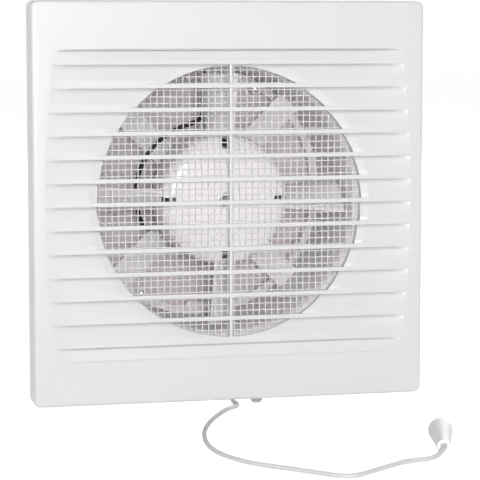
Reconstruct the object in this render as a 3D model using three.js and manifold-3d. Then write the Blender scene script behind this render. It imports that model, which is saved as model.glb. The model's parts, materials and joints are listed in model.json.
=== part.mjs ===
// Window exhaust fan for a 125 mm duct: louvred front cover, insect net, housing with spigot, axial fan
// driven by a small induction motor, pull-cord switch and a two-leaf backdraught shutter.
// Millimetres, +Z up, +X to the right, +Y from the room towards the duct.
import * as THREE from "three";
import { mergeVertices } from "three/addons/utils/BufferGeometryUtils.js";
import Module from "manifold-3d";

const wasm = await Module();
wasm.setup();

// ---- Driving dimensions -------------------------------------------------------------------------

const ductInnerRadius = 60; // bore of the spigot
const spigotWall = 2;
const faceMargin = 28; // from the cover's round opening to its edge
const faceCornerRadius = 3;
const faceEdgeRadius = 1.2;
const coverWall = 2;
const wallPlane = 15; // depth of the plane that lies against the wall, behind the front face
const coverDepth = 14.6; // the cover's rim stops just short of the wall
const totalDepth = 80; // front face to the spigot's rear rim
const screwStandoff = 3; // the cover screw's head stands this far out of the bottom edge

const louvrePitch = 10.48;
const lipHeight = 2;
const louvreDepth = 2.6; // from a lip back to the next strip's start, at the deepest
const narrowStrip = 6.6;
const fieldMargin = 21.7; // from the cover's upper edge to the louvres
const fieldSideMargin = 5.5;

const tipGap = 2.5; // between the blades' tips and the duct
const bladeCount = 4;
const hubRadius = 30;
const hubWall = 1.8;
const hubFront = 12;
const hubLength = 22;
const shaftRadius = 1.6;
const motorWall = 1.5;
const bracketPlane = 58; // the motor stands on the arms at this depth

const netPitch = 11;
const netWire = 0.6;

const cordDiameter = 1.4;
const cordX = 2; // the pull cord hangs a little right of the middle
const cordDepth = 8.2;
const leverTravel = 4;

// ---- Named clearances ---------------------------------------------------------------------------

const seatGap = 0.3; // between pieces that rest on each other
const runningGap = 0.5; // between pieces that move past each other
const holeGap = 0.4; // round a shank or a wire in its hole
const hubGap = 2.7; // between the hub's skirt and the motor inside it

const ductOuterRadius = ductInnerRadius + spigotWall;
const openingRadius = ductOuterRadius; // round opening of the cover
const half = openingRadius + faceMargin; // half of the square cover's side
const fanTipRadius = ductInnerRadius - tipGap;
const motorRadius = hubRadius - hubWall - hubGap;
const axisHeight = half + screwStandoff;
const flangeThickness = 2;
const flangeFront = wallPlane - flangeThickness;
const netFront = 7;
const netThickness = 1;
const netRear = netFront + netThickness;
const mouthRadius = openingRadius + 0.5; // the mouth of the duct inside the cover
const mouthOuterRadius = mouthRadius + 2.5;
const rimOuter = half - coverWall - 0.5;
const rimThickness = 1.6;
const rimInner = rimOuter - rimThickness;

// ---- Solids and geometries ----------------------------------------------------------------------

// A closed geometry as a solid. The winding follows the sign of the volume that it encloses.
function solid(geometry) {
  const bare = geometry.clone();
  bare.deleteAttribute("normal");
  bare.deleteAttribute("uv");
  const merged = mergeVertices(bare, 1e-4);
  const vertProperties = new Float32Array(merged.attributes.position.array);
  const triVerts = new Uint32Array(merged.index.array);
  const made = new wasm.Manifold(new wasm.Mesh({ numProp: 3, vertProperties, triVerts }));
  if (made.volume() > 0) return made;
  for (let i = 0; i < triVerts.length; i += 3) {
    [triVerts[i + 1], triVerts[i + 2]] = [triVerts[i + 2], triVerts[i + 1]];
  }
  return new wasm.Manifold(new wasm.Mesh({ numProp: 3, vertProperties, triVerts }));
}

function joined(...solids) {
  return solids.reduce((sum, next) => sum.add(next));
}

function cut(from, ...tools) {
  return tools.reduce((rest, tool) => rest.subtract(tool), from);
}

function box(x0, x1, y0, y1, z0, z1) {
  const shape = new THREE.BoxGeometry(x1 - x0, y1 - y0, z1 - z0);
  return solid(shape.translate((x0 + x1) / 2, (y0 + y1) / 2, (z0 + z1) / 2));
}

// A rod along Y, from one depth to another. Its flats touch the stated radius from inside.
function rod(radius, from, to, x = 0, z = 0, sides = 16) {
  const shape = new THREE.CylinderGeometry(radius, radius, to - from, sides);
  return solid(shape.translate(x, (from + to) / 2, z));
}

// A rod along Z.
function post(radius, from, to, x, y, sides = 16) {
  const shape = new THREE.CylinderGeometry(radius, radius, to - from, sides);
  return solid(shape.rotateX(Math.PI / 2).translate(x, y, (from + to) / 2));
}

// A flat outline in X and Z, made thick along Y.
function slab(outline, from, to, curveSegments = 8) {
  const shape = new THREE.ExtrudeGeometry(outline, {
    depth: to - from,
    bevelEnabled: false,
    curveSegments,
  });
  return solid(shape.rotateX(Math.PI / 2).translate(0, to, 0));
}

// A closed profile of [radius, depth] points turned round the fan's axis.
function turned(profile, segments = 48) {
  const points = profile.map(([radius, depth]) => new THREE.Vector2(radius, depth));
  if (profile[0][0] > 0) points.push(points[0].clone());
  return solid(new THREE.LatheGeometry(points, segments));
}

function ring(inner, outer, from, to, segments = 48) {
  return turned([[inner, from], [outer, from], [outer, to], [inner, to]], segments);
}

function disc(radius, from, to, segments = 48) {
  return turned([[0, from], [radius, from], [radius, to], [0, to]], segments);
}

// A skin over rows of points, each row closed on itself, with a flat cap on the first and the last.
function loft(rows) {
  const count = rows[0].length;
  const positions = rows.flat().flatMap((p) => [p.x, p.y, p.z]);
  const index = [];
  for (let r = 0; r + 1 < rows.length; r += 1) {
    for (let i = 0; i < count; i += 1) {
      const a = r * count + i;
      const b = r * count + ((i + 1) % count);
      index.push(a, b, b + count, a, b + count, a + count);
    }
  }
  const last = (rows.length - 1) * count;
  for (let i = 1; i + 1 < count; i += 1) {
    index.push(0, i + 1, i, last, last + i, last + i + 1);
  }
  const shape = new THREE.BufferGeometry();
  shape.setAttribute("position", new THREE.Float32BufferAttribute(positions, 3));
  shape.setIndex(index);
  return solid(shape);
}

// A solid between two grids of points that have the same rows and columns.
function between(front, back) {
  const rows = front.length;
  const columns = front[0].length;
  const positions = [...front, ...back].flat().flatMap((p) => [p.x, p.y, p.z]);
  const index = [];
  const quad = (a, b, c, d) => index.push(a, b, c, a, c, d);
  const at = (side, r, c) => (side * rows + r) * columns + c;
  const end = columns - 1;
  for (let r = 0; r + 1 < rows; r += 1) {
    for (let c = 0; c < end; c += 1) {
      quad(at(0, r, c), at(0, r, c + 1), at(0, r + 1, c + 1), at(0, r + 1, c));
      quad(at(1, r, c), at(1, r + 1, c), at(1, r + 1, c + 1), at(1, r, c + 1));
    }
    quad(at(0, r, 0), at(0, r + 1, 0), at(1, r + 1, 0), at(1, r, 0));
    quad(at(0, r, end), at(1, r, end), at(1, r + 1, end), at(0, r + 1, end));
  }
  for (let c = 0; c < end; c += 1) {
    quad(at(0, 0, c), at(1, 0, c), at(1, 0, c + 1), at(0, 0, c + 1));
    quad(at(0, rows - 1, c), at(0, rows - 1, c + 1), at(1, rows - 1, c + 1), at(1, rows - 1, c));
  }
  const shape = new THREE.BufferGeometry();
  shape.setAttribute("position", new THREE.Float32BufferAttribute(positions, 3));
  shape.setIndex(index);
  return solid(shape);
}

function polygon(radius, sides) {
  const corners = [];
  for (let i = 0; i < sides; i += 1) {
    const angle = (2 * Math.PI * (i + 0.5)) / sides;
    corners.push(new THREE.Vector2(radius * Math.cos(angle), radius * Math.sin(angle)));
  }
  return new THREE.Shape(corners);
}

// A round wire or cord along a smooth path.
function wire(points, radius, sides, steps) {
  const extrudePath = new THREE.CatmullRomCurve3(points, false, "centripetal");
  const settings = { steps, extrudePath, bevelEnabled: false };
  return solid(new THREE.ExtrudeGeometry(polygon(radius, sides), settings));
}

// The least gap between a coiled wire's turns, measured between points at least half a turn apart.
function turnGap(points, radius, stepsPerTurn) {
  let least = Infinity;
  points.forEach((p, i) => {
    points.slice(i + stepsPerTurn / 2).forEach((q) => {
      least = Math.min(least, p.distanceTo(q) - 2 * radius);
    });
  });
  return least;
}

function roundedSquare(halfSide, radius) {
  const s = halfSide - radius;
  const shape = new THREE.Shape();
  shape.absarc(s, s, radius, 0, Math.PI / 2);
  shape.absarc(-s, s, radius, Math.PI / 2, Math.PI);
  shape.absarc(-s, -s, radius, Math.PI, 1.5 * Math.PI);
  shape.absarc(s, -s, radius, 1.5 * Math.PI, 2 * Math.PI);
  shape.closePath();
  return shape;
}

function at(x, y, z) {
  return new THREE.Vector3(x, y, z);
}

function polar(radius, degrees, depth) {
  const angle = THREE.MathUtils.degToRad(degrees);
  return at(radius * Math.cos(angle), depth, radius * Math.sin(angle));
}

// ---- The finished part --------------------------------------------------------------------------

const plastics = {
  white: { color: 0xf2f2f3, roughness: 0.32, metalness: 0 },
  impeller: { color: 0xf4f5f6, roughness: 0.25, metalness: 0 },
  net: { color: 0xf3f3f2, roughness: 0.5, metalness: 0 },
  frame: { color: 0xe6e8e2, roughness: 0.45, metalness: 0 },
  leaf: { color: 0xd8d4d0, roughness: 0.6, metalness: 0 },
  switchGrey: { color: 0xc9cac8, roughness: 0.5, metalness: 0 },
  knob: { color: 0xe4e4e4, roughness: 0.35, metalness: 0 },
  cord: { color: 0xd9d8d6, roughness: 0.9, metalness: 0 },
  black: { color: 0x18181a, roughness: 0.55, metalness: 0 },
};
const metals = {
  screw: { color: 0xb9bbbd, roughness: 0.35, metalness: 1 },
  steel: { color: 0xa6a8aa, roughness: 0.3, metalness: 1 },
  laminations: { color: 0x6d6f72, roughness: 0.5, metalness: 1 },
  zinc: { color: 0xaeb2b5, roughness: 0.4, metalness: 1 },
  copper: { color: 0xb5653a, roughness: 0.4, metalness: 1 },
};

const fan = new THREE.Group();
fan.position.set(0, -totalDepth / 2, axisHeight);
const object = new THREE.Group();
object.add(fan);

// Adds one piece. Its place is in the fan's frame: the axis at height 0, the front face at depth 0.
function piece(name, shape, finish) {
  const mesh = shape.getMesh();
  const geometry = new THREE.BufferGeometry();
  geometry.setAttribute("position", new THREE.BufferAttribute(mesh.vertProperties, 3));
  geometry.setIndex(new THREE.BufferAttribute(mesh.triVerts, 1));
  const flat = geometry.toNonIndexed();
  flat.computeVertexNormals();
  const made = new THREE.Mesh(flat, new THREE.MeshStandardMaterial(finish));
  made.name = name;
  fan.add(made);
}

// ---- Front cover --------------------------------------------------------------------------------

const fieldTop = half - fieldMargin; // underside of the flat margin above the narrow strip
const firstLip = fieldTop - narrowStrip;
const louvreCount = 1 + Math.round((fieldTop + firstLip) / louvrePitch); // full strips
const lips = [fieldTop];
for (let i = 0; i < louvreCount; i += 1) lips.push(firstLip - i * louvrePitch);
const lastLip = lips[lips.length - 1];
const lastStrip = 6.4;
const fieldBottom = lastLip - lastStrip;
const fieldHalfWidth = half - fieldSideMargin;
const fieldBow = 4.5; // the field is this much narrower at its top and bottom on each side
const lipSink = 0.05; // the lips lie this far behind the flat margin
const shallowStrip = 0.55; // share of the full depth on the first and the last strip
const louvreRamp = 30; // the strips reach their full depth this far in from the field's side
const louvreThickness = 1.8;
const roundSides = 48; // facets round the opening and the duct
const bellyAt = 0.45; // each strip bends here, on its way from its step to the next lip
const bellyShare = 0.48;
const collarWall = 2.2;
const slatBack = louvreDepth + 0.3;
const slatTaper = { top: 0.2, bottom: 0.6 }; // a slat is lower at its back by these
const ribHalfWidth = 0.7;
const bondReach = 1; // slats and rib run this far into the opening's edge
const lugX = 55;
const lugDepth = 9;
const lugHalfWidth = 5;
const lugThickness = 2;
const lugHeight = 2.4;
const screwX = 13.5;
const screwDepth = 8;
const screwRadius = 1.45;
const screwHeadRadius = 2.8;
const guideRadius = 1.9;

function fieldEdge(z) {
  return fieldHalfWidth - fieldBow * (z / fieldTop) ** 2;
}

function rampShare(inset) {
  const t = Math.min(inset / louvreRamp, 1);
  return t * (2 - t);
}

// Rows of the shingled front: [height, share of the strip's depth, strip]. On the back of the sheet
// the step behind each lip lies higher by the lip's own thickness.
function fieldRows(stepLift) {
  const rows = [[fieldTop + 0.5 + stepLift, 0, 0]];
  lips.forEach((lip, strip) => {
    const next = strip + 1 < lips.length ? lips[strip + 1] + lipHeight : fieldBottom;
    rows.push([lip + stepLift, 0, strip]);
    rows.push([lip + stepLift, 1, strip]);
    rows.push([lip + (next - lip) * bellyAt, bellyShare, strip]);
    rows.push([next, 0, strip]);
  });
  return rows;
}

function stripDepth(strip) {
  const shallow = strip === 0 || strip === lips.length - 1;
  return louvreDepth * (shallow ? shallowStrip : 1);
}

const insets = [0, louvreRamp / 3, louvreRamp];

// One grid of points over the field: every row runs from the left edge to the right edge.
function fieldGrid(rows, depthAt) {
  return rows.map(([z, share, strip]) => {
    const edge = fieldEdge(z);
    const left = insets.map((inset) => -edge + inset);
    const xs = [...left, 0, ...left.map((x) => -x).reverse()];
    const deepest = share * stripDepth(strip);
    return xs.map((x) => at(x, depthAt(deepest * rampShare(edge - Math.abs(x))), z));
  });
}

function frontCover() {
  const steps = 4;
  const rows = [];
  for (let i = 0; i <= steps; i += 1) {
    const angle = (i / steps) * (Math.PI / 2);
    const inset = faceEdgeRadius * (1 - Math.sin(angle));
    const outline = roundedSquare(half - inset, faceCornerRadius - inset).getPoints(4);
    const depth = faceEdgeRadius * (1 - Math.cos(angle));
    rows.push(outline.slice(0, -1).map((p) => at(p.x, depth, p.y)));
  }
  rows.push(rows[steps].map((p) => at(p.x, coverDepth, p.z)));
  const shell = loft(rows);
  const inside = roundedSquare(half - coverWall, faceCornerRadius - coverWall);
  const cavity = slab(inside, coverWall, wallPlane + 1, 4);

  const frontRows = fieldRows(0);
  const reliefFront = fieldGrid(frontRows, (depth) => lipSink + depth);
  const ahead = fieldGrid(frontRows, () => -2);
  const backRows = fieldRows(lipHeight - 0.4);
  const sheetBack = fieldGrid(backRows, (depth) => louvreThickness + lipSink + depth);
  const sheetFront = fieldGrid(backRows, () => coverWall / 2);
  const collar = ring(openingRadius, openingRadius + collarWall, coverWall / 2, netFront, roundSides);
  const panel = cut(
    joined(cut(shell, cavity), between(sheetFront, sheetBack), collar),
    between(ahead, reliefFront),
    disc(openingRadius, -3, netFront + 1, roundSides),
  );

  // The lips run straight across the opening as slats, tied by one upright rib.
  const bond = openingRadius + bondReach;
  const slats = lips.filter((z) => Math.abs(z + lipHeight / 2) < openingRadius - 3).map((z) => {
    const farther = Math.max(Math.abs(z), Math.abs(z + lipHeight));
    const reach = Math.sqrt(bond ** 2 - farther ** 2);
    const end = [
      [lipSink, z],
      [lipSink, z + lipHeight],
      [slatBack, z + lipHeight - slatTaper.top],
      [slatBack, z + slatTaper.bottom],
    ];
    return loft([-reach, reach].map((x) => end.map(([y, height]) => at(x, y, height))));
  });
  const rib = box(-ribHalfWidth, ribHalfWidth, coverWall / 2, slatBack, -bond, bond);

  // Two snap lugs inside the top wall.
  const ceiling = half - coverWall;
  const lugs = [-lugX, lugX].map((x) => {
    const [x0, x1] = [x - lugHalfWidth, x + lugHalfWidth];
    return box(x0, x1, lugDepth, lugDepth + lugThickness, ceiling - lugHeight, ceiling + 0.5);
  });
  return cut(
    joined(panel, ...slats, rib, ...lugs),
    post(screwRadius + holeGap, -half - 1, -half + coverWall + 1, screwX, screwDepth),
    post(guideRadius + seatGap, -half - 1, -half + coverWall + 1, cordX, cordDepth),
  );
}

piece("front_cover", frontCover(), plastics.white);

// ---- Insect net ---------------------------------------------------------------------------------

function insectNet() {
  const rimInside = openingRadius - 1.5;
  const rim = ring(rimInside, mouthOuterRadius - 0.5, netFront, netRear, 40);
  const reach = rimInside + 0.7;
  const wires = [];
  const first = -Math.floor(reach / netPitch) * netPitch;
  for (let offset = first; offset <= reach; offset += netPitch) {
    const length = Math.sqrt(reach ** 2 - offset ** 2);
    if (length < netPitch) continue;
    const lo = offset - netWire / 2;
    const hi = offset + netWire / 2;
    const from = netFront + (netThickness - netWire) / 2;
    wires.push(box(lo, hi, from, from + netWire, -length, length));
    wires.push(box(-length, length, from, from + netWire, lo, hi));
  }
  return joined(rim, ...wires);
}

piece("insect_net", insectNet(), plastics.net);

// ---- Housing: flange, rim, duct mouth, spigot, motor arms ----------------------------------------

const armWidth = 12;
const armThickness = 3;
const armSeatRadius = motorRadius - 0.5;
const seatBore = 4.5;
const channelStart = armSeatRadius + 2; // the wire channel runs from here out to the spigot
const armWebDepth = 5;
const armWebThickness = 1.6;
const channelHalfWidth = 2.2;
const channelWall = 0.9;
const leadRadius = 1;
const leadDepth = bracketPlane - 0.2;
const leadOutside = ductOuterRadius + leadRadius + seatGap; // the lead runs along the outside of the spigot
const leadHoleZ = mouthOuterRadius + 1.8; // and passes the flange above the duct's mouth
const boltOffset = motorRadius - 3.2;
const boltRadius = 1.25;
const blockX = -half + 22;
const blockZ = half - 18.5;
const entryX = -half + 12;
const entryZ = half - 42;
const entryRadius = 4.4;
const clampZ = entryZ + 10.5;
const clampOffset = 4.6;
const clampPostFront = 10;
const clampScrewRadius = 0.8;
const switchScrewRadius = 0.9;
const switchScrewX = -5.6;
const switchTop = -half + 21.4;
const switchWall = 1.4;
const chamberHalf = 3.4;
const chamberTop = switchTop - switchWall;
const collarThickness = 1.6;
const collarTop = chamberTop - runningGap;
const springSolidHeight = 3.9;
const chamberBottom = collarTop - collarThickness - leverTravel - springSolidHeight;
const switchBottom = chamberBottom - 1.6;
const switchScrewZ = [switchTop - 2.8, switchBottom + 2.8];
const eyeTop = switchBottom - 0.4;
const eyeThickness = 1.2;
const eyeLow = eyeTop - eyeThickness; // the lowest point of the switch's eye at rest
const bossTop = -half + 13;
const wallScrew = half - 9.5; // the wall screws' holes lie this far out each way
const wallScrewHole = 2.2;

function baseHousing() {
  const flange = slab(roundedSquare(rimOuter, 3), flangeFront, wallPlane, 3);
  const wall = slab(roundedSquare(rimOuter, 3), 6, wallPlane, 3);
  const rim = cut(wall, slab(roundedSquare(rimInner, 1.4), 5, wallPlane + 1, 3));
  const throatStart = flangeFront + 1;
  const duct = turned(
    [
      [mouthRadius, netRear],
      [mouthOuterRadius, netRear],
      [mouthOuterRadius, flangeFront + 1],
      [ductOuterRadius, flangeFront + 1],
      [ductOuterRadius, totalDepth - 1],
      [ductOuterRadius - 0.8, totalDepth],
      [ductInnerRadius, totalDepth],
      [ductInnerRadius, throatStart],
      [ductInnerRadius + 0.9, throatStart - 3],
    ],
    roundSides,
  );
  const armReach = ductInnerRadius + 1;
  const armRear = bracketPlane + armThickness;
  const arms = [45, 135, 225, 315].map((angle) => {
    const arm = new THREE.BoxGeometry(armReach, armThickness, armWidth);
    const web = new THREE.BoxGeometry(armReach, armWebDepth, armWebThickness);
    const turn = THREE.MathUtils.degToRad(-angle);
    arm.translate(armReach / 2, bracketPlane + armThickness / 2, 0).rotateY(turn);
    web.translate(armReach / 2, armRear + armWebDepth / 2 - 0.1, 0).rotateY(turn);
    return joined(solid(arm), solid(web));
  });
  const seat = disc(armSeatRadius, bracketPlane, armRear, 28);
  const channelFront = leadDepth - leadRadius - 0.6;
  const channelFloor = leadDepth + leadRadius + 0.35;
  const groove = channelHalfWidth - channelWall;
  const channel = cut(
    box(-channelHalfWidth, channelHalfWidth, channelFront, armRear, channelStart, armReach),
    box(-groove, groove, channelFront - 1, channelFloor, channelStart - 1, armReach + 3),
  );
  const seatFrom = bracketPlane - 1;
  const seatTo = armRear + armWebDepth + 1;
  const boltHole = boltRadius + holeGap;
  const trunk = cut(
    joined(duct, ...arms, seat, channel),
    rod(seatBore, seatFrom, seatTo, 0, 0, 12),
    ...[-boltOffset, boltOffset].map((x) => rod(boltHole, seatFrom, seatTo, x, 0, 8)),
    post(leadRadius + holeGap, ductInnerRadius - 2, ductOuterRadius + 2, 0, leadDepth, 12),
  );

  const plate = cut(
    joined(flange, rim),
    disc(ductInnerRadius + 1, flangeFront - 1, wallPlane + 1, roundSides),
  );
  const screwBoss = box(screwX - 3.4, screwX + 3.4, 5.4, flangeFront + 1, -rimInner, bossTop);
  const windowFrom = lugDepth - 0.6;
  const windowTo = lugDepth + lugThickness + 0.6;
  const windows = [-lugX, lugX].map((x) => {
    const [x0, x1] = [x - lugHalfWidth - 1, x + lugHalfWidth + 1];
    return box(x0, x1, windowFrom, windowTo, rimInner - 1, rimOuter + 1);
  });
  const cordNotch = box(cordX - 4, cordX + 4, 5, flangeFront - 0.5, -rimOuter - 1, -rimInner + 1);
  const through = (radius, x, z, sides) => rod(radius, flangeFront - 2, wallPlane + 1, x, z, sides);
  const wallHoles = [[-1, -1], [-1, 1], [1, -1], [1, 1]].map(([sx, sz]) => {
    return through(wallScrewHole, sx * wallScrew, sz * wallScrew, 8);
  });
  const clampXs = [entryX - clampOffset, entryX + clampOffset];
  const clampPosts = clampXs.map((x) => rod(2.4, clampPostFront, flangeFront + 1, x, clampZ, 8));
  return cut(
    joined(plate, trunk, screwBoss, ...clampPosts),
    ...windows,
    ...wallHoles,
    cordNotch,
    post(screwRadius + holeGap - 0.1, -half, bossTop - 1.5, screwX, screwDepth, 12),
    through(entryRadius + seatGap, entryX, entryZ, 16),
    through(leadRadius + holeGap, 0, leadHoleZ, 12),
    ...switchScrewZ.map((z) => through(switchScrewRadius + holeGap, switchScrewX, z, 6)),
    ...clampXs.map((x) => rod(clampScrewRadius + holeGap, clampPostFront - 1, wallPlane + 1, x, clampZ, 6)),
  );
}

piece("base_housing", baseHousing(), plastics.white);

// ---- Motor --------------------------------------------------------------------------------------

const shellFront = hubFront + 8.5;
const stackFront = 36.3;
const stackRear = 50;
const stackRadius = motorRadius + motorWall;
const yokeInner = motorRadius - 6;
const boreRadius = motorRadius - 12.7;
const bearingRadius = 5;
const bearingLength = 4;
const boltGrip = 10; // the bolts reach this far into the front shell

// One end shell. The profile runs in depths from its closed end; sign turns it round.
function endShell(closed, open, bearingOpen) {
  const sign = Math.sign(open - closed);
  const d = (depth) => closed + sign * depth;
  const length = Math.abs(open - closed);
  const seatInner = bearingRadius + seatGap;
  const cup = turned([
    [shaftRadius + 0.6, d(0)],
    [motorRadius - 2.4, d(0)],
    [motorRadius, d(2.4)],
    [motorRadius, d(length)],
    [motorRadius - motorWall, d(length)],
    [motorRadius - motorWall, d(motorWall)],
    [seatInner + 1.4, d(motorWall)],
    [seatInner + 1.4, d(bearingOpen)],
    [seatInner, d(bearingOpen)],
    [seatInner, d(motorWall)],
    [shaftRadius + 0.6, d(motorWall)],
  ], 20);
  return cup;
}

function frontShell() {
  const sides = [-boltOffset, boltOffset];
  const bosses = sides.map((x) => rod(2.9, shellFront + 0.8, stackFront - seatGap, x, 0, 8));
  const pilots = sides.map((x) => {
    return rod(boltRadius + holeGap, stackFront - boltGrip - 1, stackFront + 1, x, 0, 8);
  });
  const outside = ring(motorRadius, motorRadius + 6, shellFront - 1, stackFront + 1, 20);
  return cut(joined(endShell(shellFront, stackFront - seatGap, 6), ...bosses), ...pilots, outside);
}

function rearShell() {
  const holes = [-1, 1].map((side) => {
    return rod(boltRadius + holeGap, stackRear - 1, bracketPlane + 1, side * boltOffset, 0, 8);
  });
  return cut(endShell(bracketPlane, stackRear + seatGap, 5), ...holes, leadExit());
}

// The lead leaves the rear shell low on its left side.
const leadExitAngle = 218;
const leadExitDepth = bracketPlane - 4.6;
function leadExit() {
  const hole = new THREE.CylinderGeometry(leadRadius + holeGap, leadRadius + holeGap, 6, 10);
  hole.rotateZ(Math.PI / 2).translate(motorRadius, leadExitDepth, 0);
  return solid(hole.rotateY(THREE.MathUtils.degToRad(-leadExitAngle)));
}

const poleHalfWidth = 6;
const shoeGap = 9; // half of the gap between the pole shoes
function statorStack() {
  const yoke = ring(yokeInner, stackRadius, stackFront, stackRear, 24);
  const poles = box(-poleHalfWidth, poleHalfWidth, stackFront, stackRear, -yokeInner - 1, yokeInner + 1);
  const shoes = ring(boreRadius - 1, boreRadius + 1.6, stackFront, stackRear, 24);
  const from = stackFront - 1;
  const to = stackRear + 1;
  const gaps = [-1, 1].map((side) => {
    const middle = side * boreRadius;
    return box(middle - 3.3, middle + 3.3, from, to, -shoeGap, shoeGap);
  });
  const bore = disc(boreRadius, from, to, 24);
  const bolts = [-boltOffset, boltOffset].map((x) => rod(boltRadius + holeGap, from, to, x, 0, 8));
  return cut(joined(yoke, poles, cut(shoes, ...gaps)), bore, ...bolts);
}

const coilBuild = 3.6;
function coil(side) {
  const inner = poleHalfWidth + seatGap;
  const near = boreRadius + 2.2;
  const far = yokeInner - 0.9;
  const z0 = side > 0 ? near : -far;
  const z1 = side > 0 ? far : -near;
  const from = stackFront - seatGap;
  const to = stackRear + seatGap;
  const winding = box(-inner - coilBuild, inner + coilBuild, from - coilBuild, to + coilBuild, z0, z1);
  const space = disc(yokeInner - seatGap, from - 10, to + 10, 24);
  return cut(winding.intersect(space), box(-inner, inner, from, to, z0 - 1, z1 + 1));
}

const shaftTip = hubFront - 0.6;
const shaftEnd = bracketPlane - motorWall + 3;
const frontBearingFrom = shellFront + motorWall + seatGap;
const rearBearingTo = bracketPlane - motorWall - seatGap;
const bearingBore = shaftRadius + 0.25;

piece("motor_front_shell", frontShell(), metals.zinc);
piece("motor_rear_shell", rearShell(), metals.zinc);
piece("stator_stack", statorStack(), metals.laminations);
piece("coil_upper", coil(1), metals.copper);
piece("coil_lower", coil(-1), metals.copper);
const bearings = [["front_bearing", frontBearingFrom], ["rear_bearing", rearBearingTo - bearingLength]];
bearings.forEach(([name, from]) => {
  piece(name, ring(bearingBore, bearingRadius, from, from + bearingLength, 20), metals.steel);
});
piece("motor_shaft", turned([
  [0, shaftTip],
  [shaftRadius - 0.4, shaftTip],
  [shaftRadius, shaftTip + 0.5],
  [shaftRadius, shaftEnd],
  [0, shaftEnd],
], 16), metals.steel);
const coreRadius = boreRadius - runningGap;
piece("rotor_core", ring(bearingBore, coreRadius, stackFront - 1, stackRear + 1, 24), metals.laminations);

const boltHead = bracketPlane + armThickness;
[-1, 1].forEach((side) => {
  const shank = rod(boltRadius, stackFront - boltGrip, boltHead + 0.5, side * boltOffset, 0, 8);
  const head = rod(2.5, boltHead, boltHead + 1.8, side * boltOffset, 0, 10);
  piece(side < 0 ? "motor_bolt_left" : "motor_bolt_right", joined(shank, head), metals.screw);
});

// ---- Impeller -----------------------------------------------------------------------------------

const hubRear = hubFront + hubLength;
const bladeFront = hubFront + 2.5;
const bladeRear = hubRear - 1;
const slotRadius = hubRadius - 3.8; // distance of the hub's slots from the axis
const slotLength = 6.4;
const slotWidth = 2.4;

// A blade's section at one radius: its camber line leans from the leading edge back to the trailing
// edge, and it is thickest a third of the way along.
function bladeSection(radius) {
  const span = (radius - hubRadius) / (fanTipRadius - hubRadius);
  const lead = 4.2 + 2.2 * span;
  const trail = -4.4 - 2.6 * span;
  const stations = [0, 0.12, 0.35, 0.65, 1];
  const camber = stations.map((t) => [
    lead + (trail - lead) * (1 - (1 - t) ** 1.7),
    bladeFront + (bladeRear - bladeFront) * t,
  ]);
  const thickest = 1.1 - 0.35 * span;
  const halfThickness = stations.map((t) => {
    return thickest * (0.35 + 0.65 * Math.sin(Math.PI * Math.min(1, t + 0.2) ** 0.7));
  });
  const right = camber.map(([x, y], i) => at(x + halfThickness[i], y, radius));
  const left = camber.map(([x, y], i) => at(x - halfThickness[i], y, radius)).reverse();
  return [...right, ...left];
}

function impeller() {
  const cup = turned([
    [0, hubFront - 0.9],
    [hubRadius * 0.6, hubFront - 0.5],
    [hubRadius - 3.5, hubFront + 0.7],
    [hubRadius - 1, hubFront + 2.7],
    [hubRadius, hubFront + 6],
    [hubRadius, hubRear],
    [hubRadius - hubWall, hubRear],
    [hubRadius - hubWall, hubFront + 6],
    [hubRadius - 5, hubFront + hubWall + 0.4],
    [0, hubFront + hubWall],
  ], 32);
  const sleeve = disc(4.6, hubFront, shellFront - 0.8, 20);
  const ribs = [45, 135].map((angle) => {
    const rib = new THREE.BoxGeometry(2 * (hubRadius - 1), 4.5, 1.4).translate(0, hubFront + 3.6, 0);
    return solid(rib.rotateY(THREE.MathUtils.degToRad(-angle)));
  });
  const radii = [hubRadius - 1.2, 42, fanTipRadius - 0.5];
  const blade = new THREE.Matrix4();
  const blades = [];
  for (let i = 0; i < bladeCount; i += 1) {
    const turn = (360 / bladeCount) * i;
    const rows = radii.map((radius) => bladeSection(radius).map((p) => {
      blade.makeRotationY(THREE.MathUtils.degToRad(turn));
      return p.clone().applyMatrix4(blade);
    }));
    blades.push(loft(rows));
  }
  const slots = [0, 90, 180, 270].map((angle) => {
    const slot = new THREE.BoxGeometry(slotLength, 14, slotWidth).translate(slotRadius, hubFront, 0);
    return solid(slot.rotateY(THREE.MathUtils.degToRad(-angle)));
  });
  return cut(
    joined(cup, sleeve, ...ribs, ...blades),
    disc(clipRadius + 0.8, hubFront - 3, hubFront, 20),
    rod(bearingBore, hubFront - 3, shellFront + 1, 0, 0, 16),
    ...slots,
  );
}

const clipRadius = 3.4;
piece("impeller", impeller(), plastics.impeller);
piece("impeller_clip", ring(shaftRadius + 0.2, clipRadius, hubFront - 0.5, hubFront, 16), metals.steel);

// ---- Motor lead and wiring ----------------------------------------------------------------------

const boxDepthFrom = 5.6;
const boxDepthTo = flangeFront - seatGap;
const blockHalfWidth = 9;
const blockHalfHeight = 5.2;

const leadSweepRadius = motorRadius + 8.1; // the lead bends round the motor at this distance
const boxDepth = 10; // the leads lie this deep inside the cover
const blockEnd = blockX + blockHalfWidth;

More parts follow.
